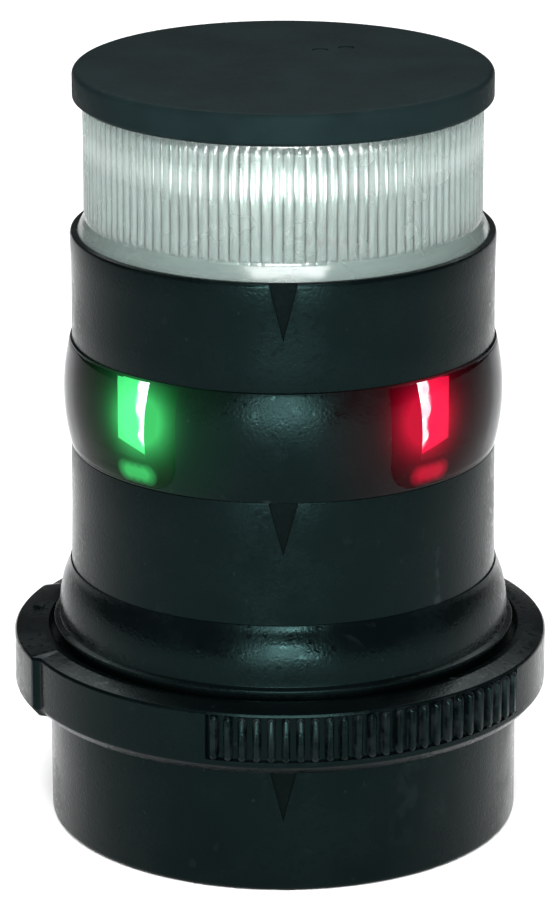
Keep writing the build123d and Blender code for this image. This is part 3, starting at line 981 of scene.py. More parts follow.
class RingArray(ShapeTree):
    """Repeats a piece round the Z axis."""

    name = "repeat_round_axis"
    inputs = {"Count": "NodeSocketInt", "Start": "NodeSocketFloat", "Step": "NodeSocketFloat"}

    @classmethod
    def shape(cls, graph: Graph, source: bpy.types.Node) -> Socket:
        """Puts a turned copy of the piece on each of a row of points at the origin.

        Args:
            graph: the tree's graph.
            source: the node with the tree's inputs.

        Returns:
            The copies.
        """
        points = graph.add("GeometryNodePoints")
        graph.feed(points.inputs["Count"], source.outputs["Count"])
        index = graph.add("GeometryNodeInputIndex")
        turn = graph.math("MULTIPLY_ADD", index.outputs[0], source.outputs["Step"])
        graph.feed(turn.node.inputs[2], source.outputs["Start"])
        angles = graph.add("ShaderNodeCombineXYZ")
        graph.feed(angles.inputs["Z"], turn)
        rotation = graph.add("FunctionNodeEulerToRotation")
        graph.feed(rotation.inputs[0], angles.outputs[0])
        copies = graph.add("GeometryNodeInstanceOnPoints")
        graph.feed(copies.inputs["Points"], points.outputs[0])
        graph.feed(copies.inputs["Instance"], source.outputs["Geometry"])
        graph.feed(copies.inputs["Rotation"], rotation.outputs[0])
        return copies.outputs[0]

    @classmethod
    def apply(cls, piece: Piece, count: int, start: float, step: float, material: Material) -> Piece:
        """Repeats a piece that stands at the bow side.

        Args:
            piece: the piece to repeat.
            count: number of copies.
            start: azimuth of the first copy, in degrees.
            step: azimuth between copies, in degrees.
            material: the copies' material.

        Returns:
            The same object, as a plain mesh of all the copies.
        """
        turns = {"Start": math.radians(start), "Step": math.radians(step)}
        return cls.run(piece, {"Count": count, **turns, "Material": material})


class FlutedWall(ShapeTree):
    """Presses upright flutes into the two faces of a turned wall."""

    name = "flute_wall"
    inputs = dict.fromkeys(
        ("Outer Flutes", "Inner Flutes", "Outer Depth", "Inner Depth", "Middle Radius", "Low", "High", "Run Out"),
        "NodeSocketFloat",
    )

    @classmethod
    def shape(cls, graph: Graph, source: bpy.types.Node) -> Socket:
        """Moves each face's points in and out, less towards the flutes' ends.

        Args:
            graph: the tree's graph.
            source: the node with the tree's inputs.

        Returns:
            The fluted wall.
        """
        math_node, given = graph.math, source.outputs
        parts = graph.add("ShaderNodeSeparateXYZ")
        graph.feed(parts.inputs[0], graph.add("GeometryNodeInputPosition").outputs[0])
        x, y, z = parts.outputs
        angle = math_node("ARCTAN2", x, math_node("MULTIPLY", y, -1.0))
        squares = math_node("ADD", math_node("MULTIPLY", x, x), math_node("MULTIPLY", y, y))
        outside = math_node("GREATER_THAN", math_node("SQRT", squares), given["Middle Radius"])
        inside = math_node("SUBTRACT", 1.0, outside)
        around = math_node("MULTIPLY", math_node("MULTIPLY", angle, 0.5), given["Outer Flutes"])
        round_wave = math_node("ABSOLUTE", math_node("SINE", around))
        turns = math_node("DIVIDE", given["Inner Flutes"], math.pi)
        sharp_wave = math_node("PINGPONG", math_node("MULTIPLY", angle, turns), 1.0)
        outer = math_node("MULTIPLY", math_node("MULTIPLY", round_wave, given["Outer Depth"]), outside)
        inner = math_node("MULTIPLY", math_node("MULTIPLY", sharp_wave, given["Inner Depth"]), inside)
        rise = math_node("DIVIDE", math_node("SUBTRACT", z, given["Low"]), given["Run Out"], True)
        fall = math_node("DIVIDE", math_node("SUBTRACT", given["High"], z), given["Run Out"], True)
        ends = math_node("MULTIPLY", rise, fall)
        push = math_node("MULTIPLY", math_node("SUBTRACT", outer, inner), ends)
        flat = graph.add("ShaderNodeCombineXYZ")
        graph.feed(flat.inputs[0], x)
        graph.feed(flat.inputs[1], y)
        unit = graph.add("ShaderNodeVectorMath", operation="NORMALIZE")
        graph.feed(unit.inputs[0], flat.outputs[0])
        move = graph.add("GeometryNodeSetPosition")
        graph.feed(move.inputs["Geometry"], given["Geometry"])
        graph.feed(move.inputs["Offset"], graph.vector("SCALE", unit.outputs[0], push, 3).outputs[0])
        return move.outputs[0]


def present(piece: Piece, body: Body, stands_for: str) -> None:
    """Hands a finished piece to the frame.

    Args:
        piece: the finished piece.
        body: the body that it rides on.
        stands_for: the CAD node that it replaces.
    """
    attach(piece, body.value)
    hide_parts(stands_for)
    LOG.info("%s: %d faces on %s", piece.name, len(piece.data.polygons), body.value)


def dress(piece: Piece, material: Material) -> Piece:
    """Gives a piece one material."""
    piece.data.materials.clear()
    piece.data.materials.append(material)
    return piece


# ---- The light's sub-assemblies --------------------------------------------------------------
@dataclass(frozen=True)
class BaseCup:
    """The fixed base: a cup with ramped bayonet grooves outside and the terminals inside."""

    wall: float = 4.45
    floor: float = 3.0
    entry: float = 4.6
    entry_foot: float = 5.8
    seal_inner: float = 29.5
    seal_outer: float = 31.5
    seal_depth: float = 1.25
    hole_radius: float = 2.2
    hole_circle: float = 23.0
    hole_azimuths: tuple[float, ...] = (0.0, 120.0, -120.0)
    key_half: float = 1.5
    key_top: float = 20.0
    key_chamfer: float = 0.3
    groove_root: float = 31.4
    groove_out: float = 36.0
    groove_low: float = 18.6
    groove_height: float = 2.6
    ramp: float = 0.2406
    lug_half_width: float = 2.52
    lug_radius: float = 31.75

    def build(self, finish: Material, mark: Material) -> None:
        """Builds the cup.

        Args:
            finish: the housing's material.
            mark: the dull black inside the pointer.
        """
        low, high = node_box("base_housing")
        radius, top = high.x / MM, high.z / MM
        pocket = radius - self.wall
        outline = rounded([
            (self.entry, 1.0, 0.0), (self.entry_foot, 1.0, 0.0), (self.entry_foot, low.z / MM, 0.15),
            (self.seal_inner, 0.0, 0.15), (self.seal_inner, self.seal_depth, 0.0),
            (self.seal_outer, self.seal_depth, 0.0), (self.seal_outer, 0.0, 0.15), (radius, 0.0, 0.75),
            (radius, top, 0.35), (pocket, top, 0.35), (pocket, self.floor, 0.6), (self.entry, self.floor, 0.2),
        ])
        cup = dress(lathe("base_shell", outline), finish)
        cutters = [round_cutter(self.hole_radius, -1.0, 5.0, azimuth, self.hole_circle)
                   for azimuth in self.hole_azimuths]
        cutters += [turned(self.groove(top), azimuth) for azimuth in LUG_AZIMUTHS]
        cutters.append(dress(arrow_cutter(radius, top=19.0, tip=10.4, width=4.4, depth=0.5), mark))
        carve(cup, cutters)
        half, shoulder = self.key_half, self.key_top - self.key_chamfer
        inner_half = half - self.key_chamfer
        key = [(-half, self.floor), (half, self.floor), (half, shoulder), (inner_half, self.key_top),
               (-inner_half, self.key_top), (-half, shoulder)]
        merge(cup, plate_block("key", key, pocket - 2.0, pocket + 0.5))
        present(smooth(cup), Body.BASE, "base_housing")

    def groove(self, top: float) -> Piece:
        """A ramped groove cutter at the bow side.

        Args:
            top: height of the cup's rim.

        Returns:
            The cutter.
        """
        crest, ceiling = top + 1.0, self.groove_low + self.groove_height
        half = self.lug_half_width
        outline = [(-half, self.groove_low), (half, self.groove_low),
                   (half + (crest - self.groove_low) / self.ramp, crest),
                   (-half + (crest - ceiling) / self.ramp, crest), (-half, ceiling)]
        steps = 12
        build = bmesh.new()
        sides = []
        for radius in (self.groove_root, self.groove_out):
            verts = []
            for (x, z), (next_x, next_z) in zip(outline, outline[1:] + outline[:1]):
                for share in (step / steps for step in range(steps)):
                    arc = math.degrees((x + (next_x - x) * share) / self.lug_radius)
                    verts.append(build.verts.new(spot(arc, radius, z + (next_z - z) * share)))
            sides.append(verts)
        bridge(build, *sides)
        for verts in sides:
            bmesh.ops.triangulate(build, faces=[build.faces.new(verts)])
        return new_object("groove_cutter", build)


@dataclass(frozen=True)
class GripRing:
    """The captive locking ring: a turned wall with a thumb pad, two ribbed grips and lugs inside."""

    radius: float = 37.1
    skirt: float = 33.4
    relief: float = 34.1
    lip: float = 33.1
    grip_root: float = 36.5
    grip_crest: float = 37.5
    rib_pitch: float = 3.06
    ribs: int = 25
    rib_low: float = 20.5
    rib_high: float = 27.0
    rib_width: float = 1.2
    grips: tuple[float, ...] = (22.0, 158.0)
    pad_azimuth: float = -90.0
    pad_half: float = 24.0
    pad_slope: float = 1.2
    step_angle: float = 0.5
    top: float = 28.0
    ledge: float = 26.1
    lug_radius: float = 31.75
    lug_half: float = 4.0
    lug_low: float = 18.9
    lug_high: float = 20.9
    mark_azimuth: float = -97.0
    mark_half: float = 1.4
    steps: int = 720

    def build(self, finish: Material) -> None:
        """Builds the ring's wall, its ribs and its mark.

        Args:
            finish: the ring's material.
        """
        wall = self.wall()
        for azimuth in LUG_AZIMUTHS:
            merge(wall, turned(self.lug(), azimuth))
        merge(wall, self.mark())
        for zone in self.grips:
            start = zone - (self.ribs - 1) / 2 * self.rib_pitch
            merge(wall, RingArray.apply(self.rib(), self.ribs, start, self.rib_pitch, finish))
        present(dress(smooth(wall, 36.0), finish), Body.RING, "locking_ring")

    @staticmethod
    def inside(azimuth: float, centres: Sequence[float], half: float, slope: float) -> float:
        """How far an azimuth lies inside the nearest of some zones.

        Args:
            azimuth: the azimuth.
            centres: azimuth of each zone's middle.
            half: half of a zone's width, in degrees.
            slope: width of a zone's edge, in degrees.

        Returns:
            0 outside and 1 inside.
        """
        gap = min(abs((azimuth - centre + 180) % 360 - 180) for centre in centres)
        return max(0.0, min(1.0, (half - gap) / slope + 0.5))

    def profile(self, azimuth: float) -> list[Point]:
        """The wall's section at an azimuth.

        Args:
            azimuth: degrees from the bow.

        Returns:
            The section's outline.
        """
        low = node_box("locking_ring")[0]
        bottom, top = low.z / MM, self.top
        pad = self.inside(azimuth, (self.pad_azimuth,), self.pad_half, self.pad_slope)
        grip = self.inside(azimuth, self.grips, self.ribs * self.rib_pitch / 2, self.step_angle)
        outer = self.radius + (-low.x / MM - self.radius) * pad
        pocket = outer + (self.grip_root - outer) * grip
        return rounded([
            (self.skirt, bottom, 0.15), (outer - 1.0, bottom, 0.2), (outer, bottom + 1.2, 0.5),
            (outer, self.rib_low, 0.0), (pocket, self.rib_low + 0.15, 0.0), (pocket, self.rib_high - 0.15, 0.0),
            (outer, self.rib_high, 0.0), (outer - 0.25, top - 0.65, 0.3), (self.lip + 1.2, top, 0.3),
            (self.lip, top - 0.1, 0.25), (self.lip, self.ledge, 0.0), (self.relief, self.ledge, 0.0),
            (self.relief, 22.9, 0.0), (self.skirt, 22.4, 0.0),
        ])

    def wall(self) -> Piece:
        """The ring's wall, whose section changes round the axis."""
        build = bmesh.new()
        sections = []
        for azimuth in (360.0 * step / self.steps for step in range(self.steps)):
            places = [spot(azimuth, radius, height) for radius, height in self.profile(azimuth)]
            sections.append([build.verts.new(place) for place in places])
        for here, there in zip(sections, sections[1:] + sections[:1]):
            bridge(build, here, there)
        return new_object("grip_ring", build)

    def rib(self) -> Piece:
        """One grip rib at the bow side, with rounded ends and edges."""
        build = bmesh.new()
        half = self.rib_width / 2
        crest = self.grip_crest
        levels = ((self.grip_root - 0.3, half), (crest - 0.25, half - 0.06), (crest, half - 0.26))
        rings = []
        for radius, width in levels:
            ends = half - width
            outline = []
            for centre, start in ((self.rib_high - half - ends, 0.0), (self.rib_low + half + ends, 180.0)):
                for step in range(7):
                    angle = math.radians(start + 30.0 * step)
                    outline.append((width * math.cos(angle), centre + width * math.sin(angle)))
            rings.append([build.verts.new((x * MM, -radius * MM, z * MM)) for x, z in outline])
        for lower, upper in zip(rings, rings[1:]):
            bridge(build, lower, upper)
        build.faces.new(rings[0])
        build.faces.new(rings[-1])
        return new_object("grip_rib", build)

    def lug(self) -> Piece:
        """One bayonet lug at the bow side."""
        build = bmesh.new()
        root = self.skirt + 0.3
        section = [(self.lug_radius, self.lug_low), (root, self.lug_low), (root, self.lug_high),
                   (self.lug_radius, self.lug_high)]
        loops = []
        for azimuth in [self.lug_half * (step / 4 - 1) for step in range(9)]:
            loops.append([build.verts.new(spot(azimuth, radius, height)) for radius, height in section])
        for here, there in zip(loops, loops[1:]):
            bridge(build, here, there)
        build.faces.new(loops[0])
        build.faces.new(loops[-1])
        return new_object("bayonet_lug", build)

    def mark(self) -> Piece:
        """The small raised triangle on the top face that marks the locked place."""
        build = bmesh.new()
        middle, half = self.mark_azimuth, self.mark_half
        places = ((middle - half, 34.4), (middle + half, 34.4), (middle, 36.0))
        low, high = [[build.verts.new(spot(azimuth, radius, height)) for azimuth, radius in places]
                     for height in (self.top - 0.7, self.top + 0.2)]
        build.faces.new(low)
        build.faces.new(high)
        bridge(build, low, high)
        return new_object("lock_mark", build)


@dataclass(frozen=True)
class LowerBarrel:
    """The head's lower housing: skirt, flange, convex foot and barrel."""

    foot_top: float = 37.5
    foot_radius: float = 31.6
    lip_radius: float = 32.4
    lip_low: float = 28.4
    lip_high: float = 28.95
    barrel_low: float = 29.8
    barrel: float = 29.6
    skirt: float = 27.9
    skirt_bore: float = 25.6
    neck: float = 23.6
    neck_low: float = 18.0
    bore: float = 26.6
    flange_low: float = 23.8
    flange_top: float = 26.0
    foot_curve: tuple[Point, ...] = (
        (31.6, 30.4), (31.57, 31.4), (31.47, 32.4), (31.28, 33.5), (31.02, 34.6), (30.7, 35.5), (30.36, 36.3),
        (30.1, 36.9),
    )

    def build(self, finish: Material, mark: Material) -> None:
        """Builds the housing.

        Args:
            finish: the housing's material.
            mark: the dull black inside the pointer.
        """
        low, high = node_box("lower_housing")
        bottom, top = low.z / MM, high.z / MM
        flange = high.x / MM
        foot = [(radius, height, 0.0) for radius, height in self.foot_curve]
        outline = rounded([
            (self.skirt, bottom, 0.3), (self.skirt, self.flange_low, 0.0), (flange, self.flange_low, 0.2),
            (flange, self.flange_top, 0.3), (self.foot_radius, self.flange_top, 0.0),
            (self.foot_radius, self.lip_low - 0.1, 0.0), (self.lip_radius, self.lip_low, 0.08),
            (self.lip_radius, self.lip_high, 0.18), (self.foot_radius, self.lip_high + 0.3, 0.1), *foot,
            (29.98, self.foot_top, 0.12), (self.barrel_low, self.foot_top, 0.0),
            (self.barrel + 0.08, 43.0, 0.0), (self.barrel + 0.02, 49.0, 0.0), (self.barrel, top, 0.14),
            (self.bore, top, 0.0), (self.bore, self.flange_top, 0.0), (self.neck, 24.0, 0.0),
            (self.neck, self.neck_low, 0.0), (self.skirt_bore, self.neck_low, 0.0), (self.skirt_bore, bottom, 0.0),
        ])
        barrel = dress(lathe("lower_barrel", outline), finish)
        slot = plate_block("key_slot", [(-1.85, 13.0), (1.85, 13.0), (1.85, 20.5), (-1.85, 20.5)], 26.2, 30.0)
        pointer = arrow_cutter(self.barrel, top=top + 0.1, tip=47.4, width=4.1, depth=0.5)
        carve(barrel, [dress(pointer, mark), slot])
        present(smooth(barrel), Body.HEAD, "lower_housing")


@dataclass(frozen=True)
class Window:
    """A curved window flush with the band. Its screen has an azimuth, a left and a right edge."""

    side: Side
    start: float
    end: float
    screen: tuple[float, float, float]


@dataclass(frozen=True)
class Band:
    """The bulged sector band and its three windows."""

    edge_radius: float = 29.6
    middle_radius: float = 30.6
    bore: float = 26.8
    lens_inset: float = 1.25
    margin: float = 0.35
    corner: float = 4.0
    corner_steps: int = 10
    seam: float = 0.07
    rows: int = 20
    columns: int = 60
    edge: float = 0.12
    screen_low: float = 56.35
    screen_high: float = 69.85
    windows: tuple[Window, ...] = (
        Window(Side.STARBOARD, -106.0, -28.5, (-62.8, -1.1, 13.35)),
        Window(Side.PORT, 28.5, 106.0, (62.8, -13.35, 1.1)),
        Window(Side.STERN, 126.0, 234.0, (180.0, -7.25, 7.25)),
    )

    def limits(self) -> tuple[float, float]:
        """The band's lowest and highest heights."""
        low, high = node_box("sector_band")
        return low.z / MM, high.z / MM

    def radius(self, height: float, inset: float = 0.0) -> float:
        """Radius of the band's bulge at a height, or of a surface set in from it.

        Args:
            height: the height.
            inset: how far the surface is set in.

        Returns:
            The radius.
        """
        low, high = self.limits()
        half, sagitta = (high - low) / 2, self.middle_radius - self.edge_radius
        bulge = (half**2 + sagitta**2) / (2 * sagitta)
        return self.middle_radius - bulge + math.sqrt((bulge - inset) ** 2 - (height - (low + high) / 2) ** 2)

    def panel(self, name: str, window: Window, outer_inset: float, inner_inset: float, grow: float) -> Piece:
        """A curved plate in a window's outline, with rounded lower corners.

        Args:
            name: the object's name.
            window: the window.
            outer_inset: depth of the outer face under the band's surface.
            inner_inset: depth of the inner face.
            grow: how far the outline is moved outwards.

        Returns:
            The plate.
        """
        low, high = self.limits()
        low, high = low + self.margin - grow, high - self.margin + grow
        grow_angle = math.degrees(grow / self.edge_radius)
        start, end = window.start - grow_angle, window.end + grow_angle
        corner = self.corner + grow
        quarter = 90.0 / self.corner_steps
        columns = []
        for gap in (corner * (1 - math.cos(math.radians(quarter * step))) for step in range(self.corner_steps)):
            rise = corner - math.sqrt(max(0.0, corner**2 - (corner - gap) ** 2))
            columns.append((start + math.degrees(gap / self.edge_radius), rise))
        reach = columns[-1][0] - start
        span = end - start - 2 * reach
        columns += [(start + reach + span * step / self.columns, 0.0) for step in range(1, self.columns)]
        columns += [(end - (azimuth - start), rise) for azimuth, rise in reversed(columns[:self.corner_steps])]
        build = bmesh.new()
        faces = []
        rows = self.rows
        for inset in (outer_inset, inner_inset):
            grid = []
            for azimuth, rise in columns:
                heights = [low + rise + (high - low - rise) * row / rows for row in range(rows + 1)]
                grid.append([build.verts.new(spot(azimuth, self.radius(z, inset), z)) for z in heights])
            faces.append(grid)
        outer, inner = faces
        for grid in faces:
            for here, there in zip(grid, grid[1:]):
                for row in range(rows):
                    build.faces.new([here[row], there[row], there[row + 1], here[row + 1]])
        edges = [(outer[end_column], inner[end_column]) for end_column in (0, -1)]
        edges += [([column[row] for column in outer], [column[row] for column in inner]) for row in (0, rows)]
        for near, far in edges:
            for index in range(len(near) - 1):
                build.faces.new([near[index], near[index + 1], far[index + 1], far[index]])
        return new_object(name, build)

    def screen_cutter(self, window: Window) -> Piece:
        """The opening behind a window where its screen sits.

        Args:
            window: the window.

        Returns:
            The cutter.
        """
        azimuth, left, right = window.screen
        low, high = self.screen_low, self.screen_high
        outline = [(left, low), (right, low), (right, high), (left, high)]
        return turned(plate_block("screen_cutter", outline, 20.0, 32.0), azimuth)

    def build(self, finish: Material, lens_finishes: dict[Side, Material]) -> None:
        """Builds the band and its windows.

        Args:
            finish: the band's material.
            lens_finishes: each window's material.
        """
        low, high = self.limits()
        steps = 24
        arc = [(self.radius(low + (high - low) * step / steps), low + (high - low) * step / steps, 0.0)
               for step in range(1, steps)]
        outline = rounded([(self.bore, low, 0.0), (self.edge_radius, low, self.edge), *arc,
                           (self.edge_radius, high, self.edge), (self.bore, high, 0.0)])
        band = dress(lathe("sector_shell", outline), finish)
        depth = self.lens_inset + 0.02
        cutters = [self.panel("window_cutter", window, -1.5, depth, self.seam) for window in self.windows]
        cutters += [self.screen_cutter(window) for window in self.windows]
        seam = [(-0.05, low - 1), (0.05, low - 1), (0.05, high + 1), (-0.05, high + 1)]
        cutters.append(plate_block("parting_line", seam, self.middle_radius - 0.06, 32.0))
        carve(band, cutters)
        present(smooth(band), Body.HEAD, "sector_band")
        for window in self.windows:
            side = window.side.value
            lens = bevel(self.panel(f"{side}_window", window, 0.0, self.lens_inset, 0.0), self.edge, 50.0)
            present(dress(smooth(lens), lens_finishes[window.side]), Body.HEAD, f"{side}_lens")


@dataclass(frozen=True)
class SectorLamps:
    """The lamps of one sector: three packages with domes on the board's face."""

    side: Side
    azimuth: float
    offset: float
    heights: tuple[float, ...] = (61.4, 65.0, 67.9)
    domes: tuple[float, ...] = (0.95, 1.35, 0.95)
    face: float = 25.7
    package: Place = (1.6, 0.5, 1.4)

    def place(self, height: float) -> Place:
        """Where a lamp sits on its board.

        Args:
            height: its height.

        Returns:
            The place, in metres.
        """
        point = Vector((self.offset * MM, -self.face * MM, height * MM))
        return tuple(Matrix.Rotation(math.radians(self.azimuth), 3, "Z") @ point)

    def build(self, finish: Material, slot: str) -> None:
        """Builds the sector's lamps.

        Args:
            finish: the lit lamp's material.
            slot: the record's material slot; not used.
        """
        build = bmesh.new()
        for height, dome in zip(self.heights, self.domes):
            add_lamp(build, (self.offset, self.face, height), self.package, dome, lift=0.35, squash=0.55)
        lamps = turned(new_object(f"{self.side.value}_lamps", build), self.azimuth)
        bevel(lamps, 0.15, 60.0)
        present(dress(smooth(lamps, 50.0), finish), Body.HEAD, f"{self.side.value}_leds")


@dataclass(frozen=True)
class UpperBarrel:
    """The upper housing: barrel, deck and the rim that holds the anchor lens."""

    radius: float = 29.36
    bore: float = 26.6
    deck_low: float = 81.0
    deck_high: float = 84.0
    rim_inner: float = 28.5
    screw_hole: float = 2.1

    def build(self, finish: Material, mark: Material) -> None:
        """Builds the housing.

        Args:
            finish: the housing's material.
            mark: the dull black inside the pointer.
        """
        low, high = node_box("upper_housing")
        bottom, top, rim = low.z / MM, high.z / MM, high.x / MM
        outline = rounded([
            (self.radius, bottom, 0.12), (self.radius - 0.03, 74.0, 0.0), (self.radius - 0.05, 78.0, 0.0),
            (self.radius - 0.01, 81.0, 0.0), (rim - 0.02, top - 0.6, 0.0), (rim - 0.15, top, 0.3),
            (self.rim_inner, top, 0.12), (self.rim_inner, self.deck_high, 0.0),
            (self.screw_hole, self.deck_high, 0.0), (self.screw_hole, self.deck_low, 0.0),
            (self.bore, self.deck_low, 0.0), (self.bore, bottom, 0.0),
        ])
        barrel = dress(lathe("upper_barrel", outline), finish)
        pointer = arrow_cutter(self.radius, top=top + 0.1, tip=77.2, width=4.0, depth=0.6)
        carve(barrel, [dress(pointer, mark), lead_hole(80.0, 85.0)])
        present(smooth(barrel), Body.HEAD, "upper_housing")


@dataclass(frozen=True)
class AnchorLight:
    """The all-round light: fluted lens, reflector, post and its ring of lamps."""

    outer_flutes: float = 118.0
    inner_flutes: float = 59.0
    outer_depth: float = 0.3
    inner_depth: float = 0.02
    flute_low: float = 87.3
    flute_high: float = 103.1
    segments: int = 1180
    lens_bore: float = 24.9
    wall_middle: float = 26.0
    run_out: float = 0.5
    waist: float = 27.18
    waist_height: float = 95.5
    dish_radius: float = 24.5
    dish_low: float = 84.0
    dish_high: float = 85.6
    screw_hole: float = 2.3
    post_bore: float = 4.3
    post_foot: float = 12.0
    post_radius: float = 9.0
    lamp_radius: float = 9.65
    lamp_height: float = 93.2
    lamps: int = 8
    package: Place = (2.9, 0.5, 3.1)
    dome: float = 1.15

    def lens(self, finish: Material) -> None:
        """Builds the fluted lens.

        Args:
            finish: the clear plastic.
        """
        low, high = node_box("anchor_lens")
        bottom, top, flange = low.z / MM, high.z / MM, high.x / MM
        bore = self.lens_bore
        corners = [(bore, bottom, 0.0), (flange, bottom, 0.1), (flange, 85.2, 0.1), (27.75, 86.5, 0.3),
                   (27.35, 87.0, 0.1)]
        corners += [(self.waist + 0.0006 * (z - self.waist_height) ** 2, z, 0.0)
                    for z in (87.4, 87.9, 90.0, 93.0, 96.0, 99.0, 101.5, 102.7)]
        corners += [(27.2, self.flute_high, 0.0), (27.2, top, 0.1), (bore, top, 0.1)]
        corners += [(bore, z, 0.0) for z in (102.7, 99.0, 95.0, 91.0, 87.9, 87.4)]
        wall = lathe("anchor_lens_wall", rounded(corners, 2), self.segments)
        FlutedWall.run(wall, {
            "Outer Flutes": self.outer_flutes, "Inner Flutes": self.inner_flutes,
            "Outer Depth": self.outer_depth * MM, "Inner Depth": self.inner_depth * MM,
            "Middle Radius": self.wall_middle * MM, "Low": self.flute_low * MM,
            "High": self.flute_high * MM, "Run Out": self.run_out * MM, "Material": finish,
        })
        present(smooth(wall, 28.0), Body.HEAD, "anchor_lens")

    def inside(self, white: Material) -> None:
        """Builds the reflector and the post.

        Args:
            white: the lit white plastic.
        """
        rim, low, high = self.dish_radius, self.dish_low, self.dish_high
        outline = rounded([(self.screw_hole, low, 0.0), (rim, low, 0.1), (rim, low + 0.9, 0.2),
                           (rim - 1.0, high, 0.2), (self.screw_hole, high, 0.1)])
        dish = dress(lathe("anchor_dish", outline), white)
        carve(dish, [lead_hole(83.0, 87.0)])
        present(smooth(dish), Body.HEAD, "anchor_reflector")
        bottom, top = (corner.z / MM for corner in node_box("anchor_post"))
        post = lathe("anchor_column", rounded([
            (self.post_bore, bottom, 0.0), (self.post_foot, bottom, 0.0), (self.post_foot, 86.6, 0.3),
            (self.post_radius, 87.4, 0.5), (self.post_radius, top, 0.3), (self.post_bore, top, 0.2),
        ]))
        present(dress(smooth(post), white), Body.HEAD, "anchor_post")

    def lamp_ring(self, finish: Material) -> None:
        """Builds the lamps round the post.

        Args:
            finish: the lit lamp's material.
        """
        build = bmesh.new()
        place = (0.0, self.lamp_radius, self.lamp_height)
        add_lamp(build, place, self.package, self.dome, lift=0.3, squash=0.6)
        lamp = new_object("anchor_lamps", build)
        RingArray.apply(lamp, self.lamps, 0.0, 360.0 / self.lamps, finish)
        present(smooth(lamp, 50.0), Body.HEAD, "anchor_leds")


@dataclass(frozen=True)
class TopCap:
    """The cap: a thick disc with a rounded rim and two small moulding dimples."""

    edge: float = 0.95
    rim_low: float = 104.0
    underside: float = 103.5
    spigot_low: float = 101.6
    spigot_inner: float = 23.4
    spigot_outer: float = 24.6
    seat: float = 28.2
    dimple_radius: float = 1.15
    dimple_depth: float = 0.14
    dimples: tuple[Point, ...] = ((5.1, 9.2), (8.7, 10.5))

    def build(self, finish: Material) -> None:
        """Builds the cap.

        Args:
            finish: the cap's material.
        """
        high = node_box("top_cap")[1]
        radius, top = high.x / MM, high.z / MM
        outline = rounded([
            (0.0, self.underside, 0.0), (self.spigot_inner, self.underside, 0.0),
            (self.spigot_inner, self.spigot_low, 0.1), (self.spigot_outer, self.spigot_low, 0.1),
            (self.spigot_outer, self.underside, 0.0), (self.seat, self.underside, 0.0),
            (radius, self.rim_low, 0.35), (radius, top, self.edge), (0.0, top, 0.0),
        ], 6)
        cap = dress(lathe("cap_disc", outline), finish)
        cutters = []
        for x, y in self.dimples:
            azimuth, distance = math.degrees(math.atan2(x, -y)), math.hypot(x, y)
            floor = top - self.dimple_depth
            cutters.append(round_cutter(self.dimple_radius, floor, top + 1.0, azimuth, distance))
        carve(cap, cutters)
        present(smooth(cap), Body.HEAD, "top_cap")


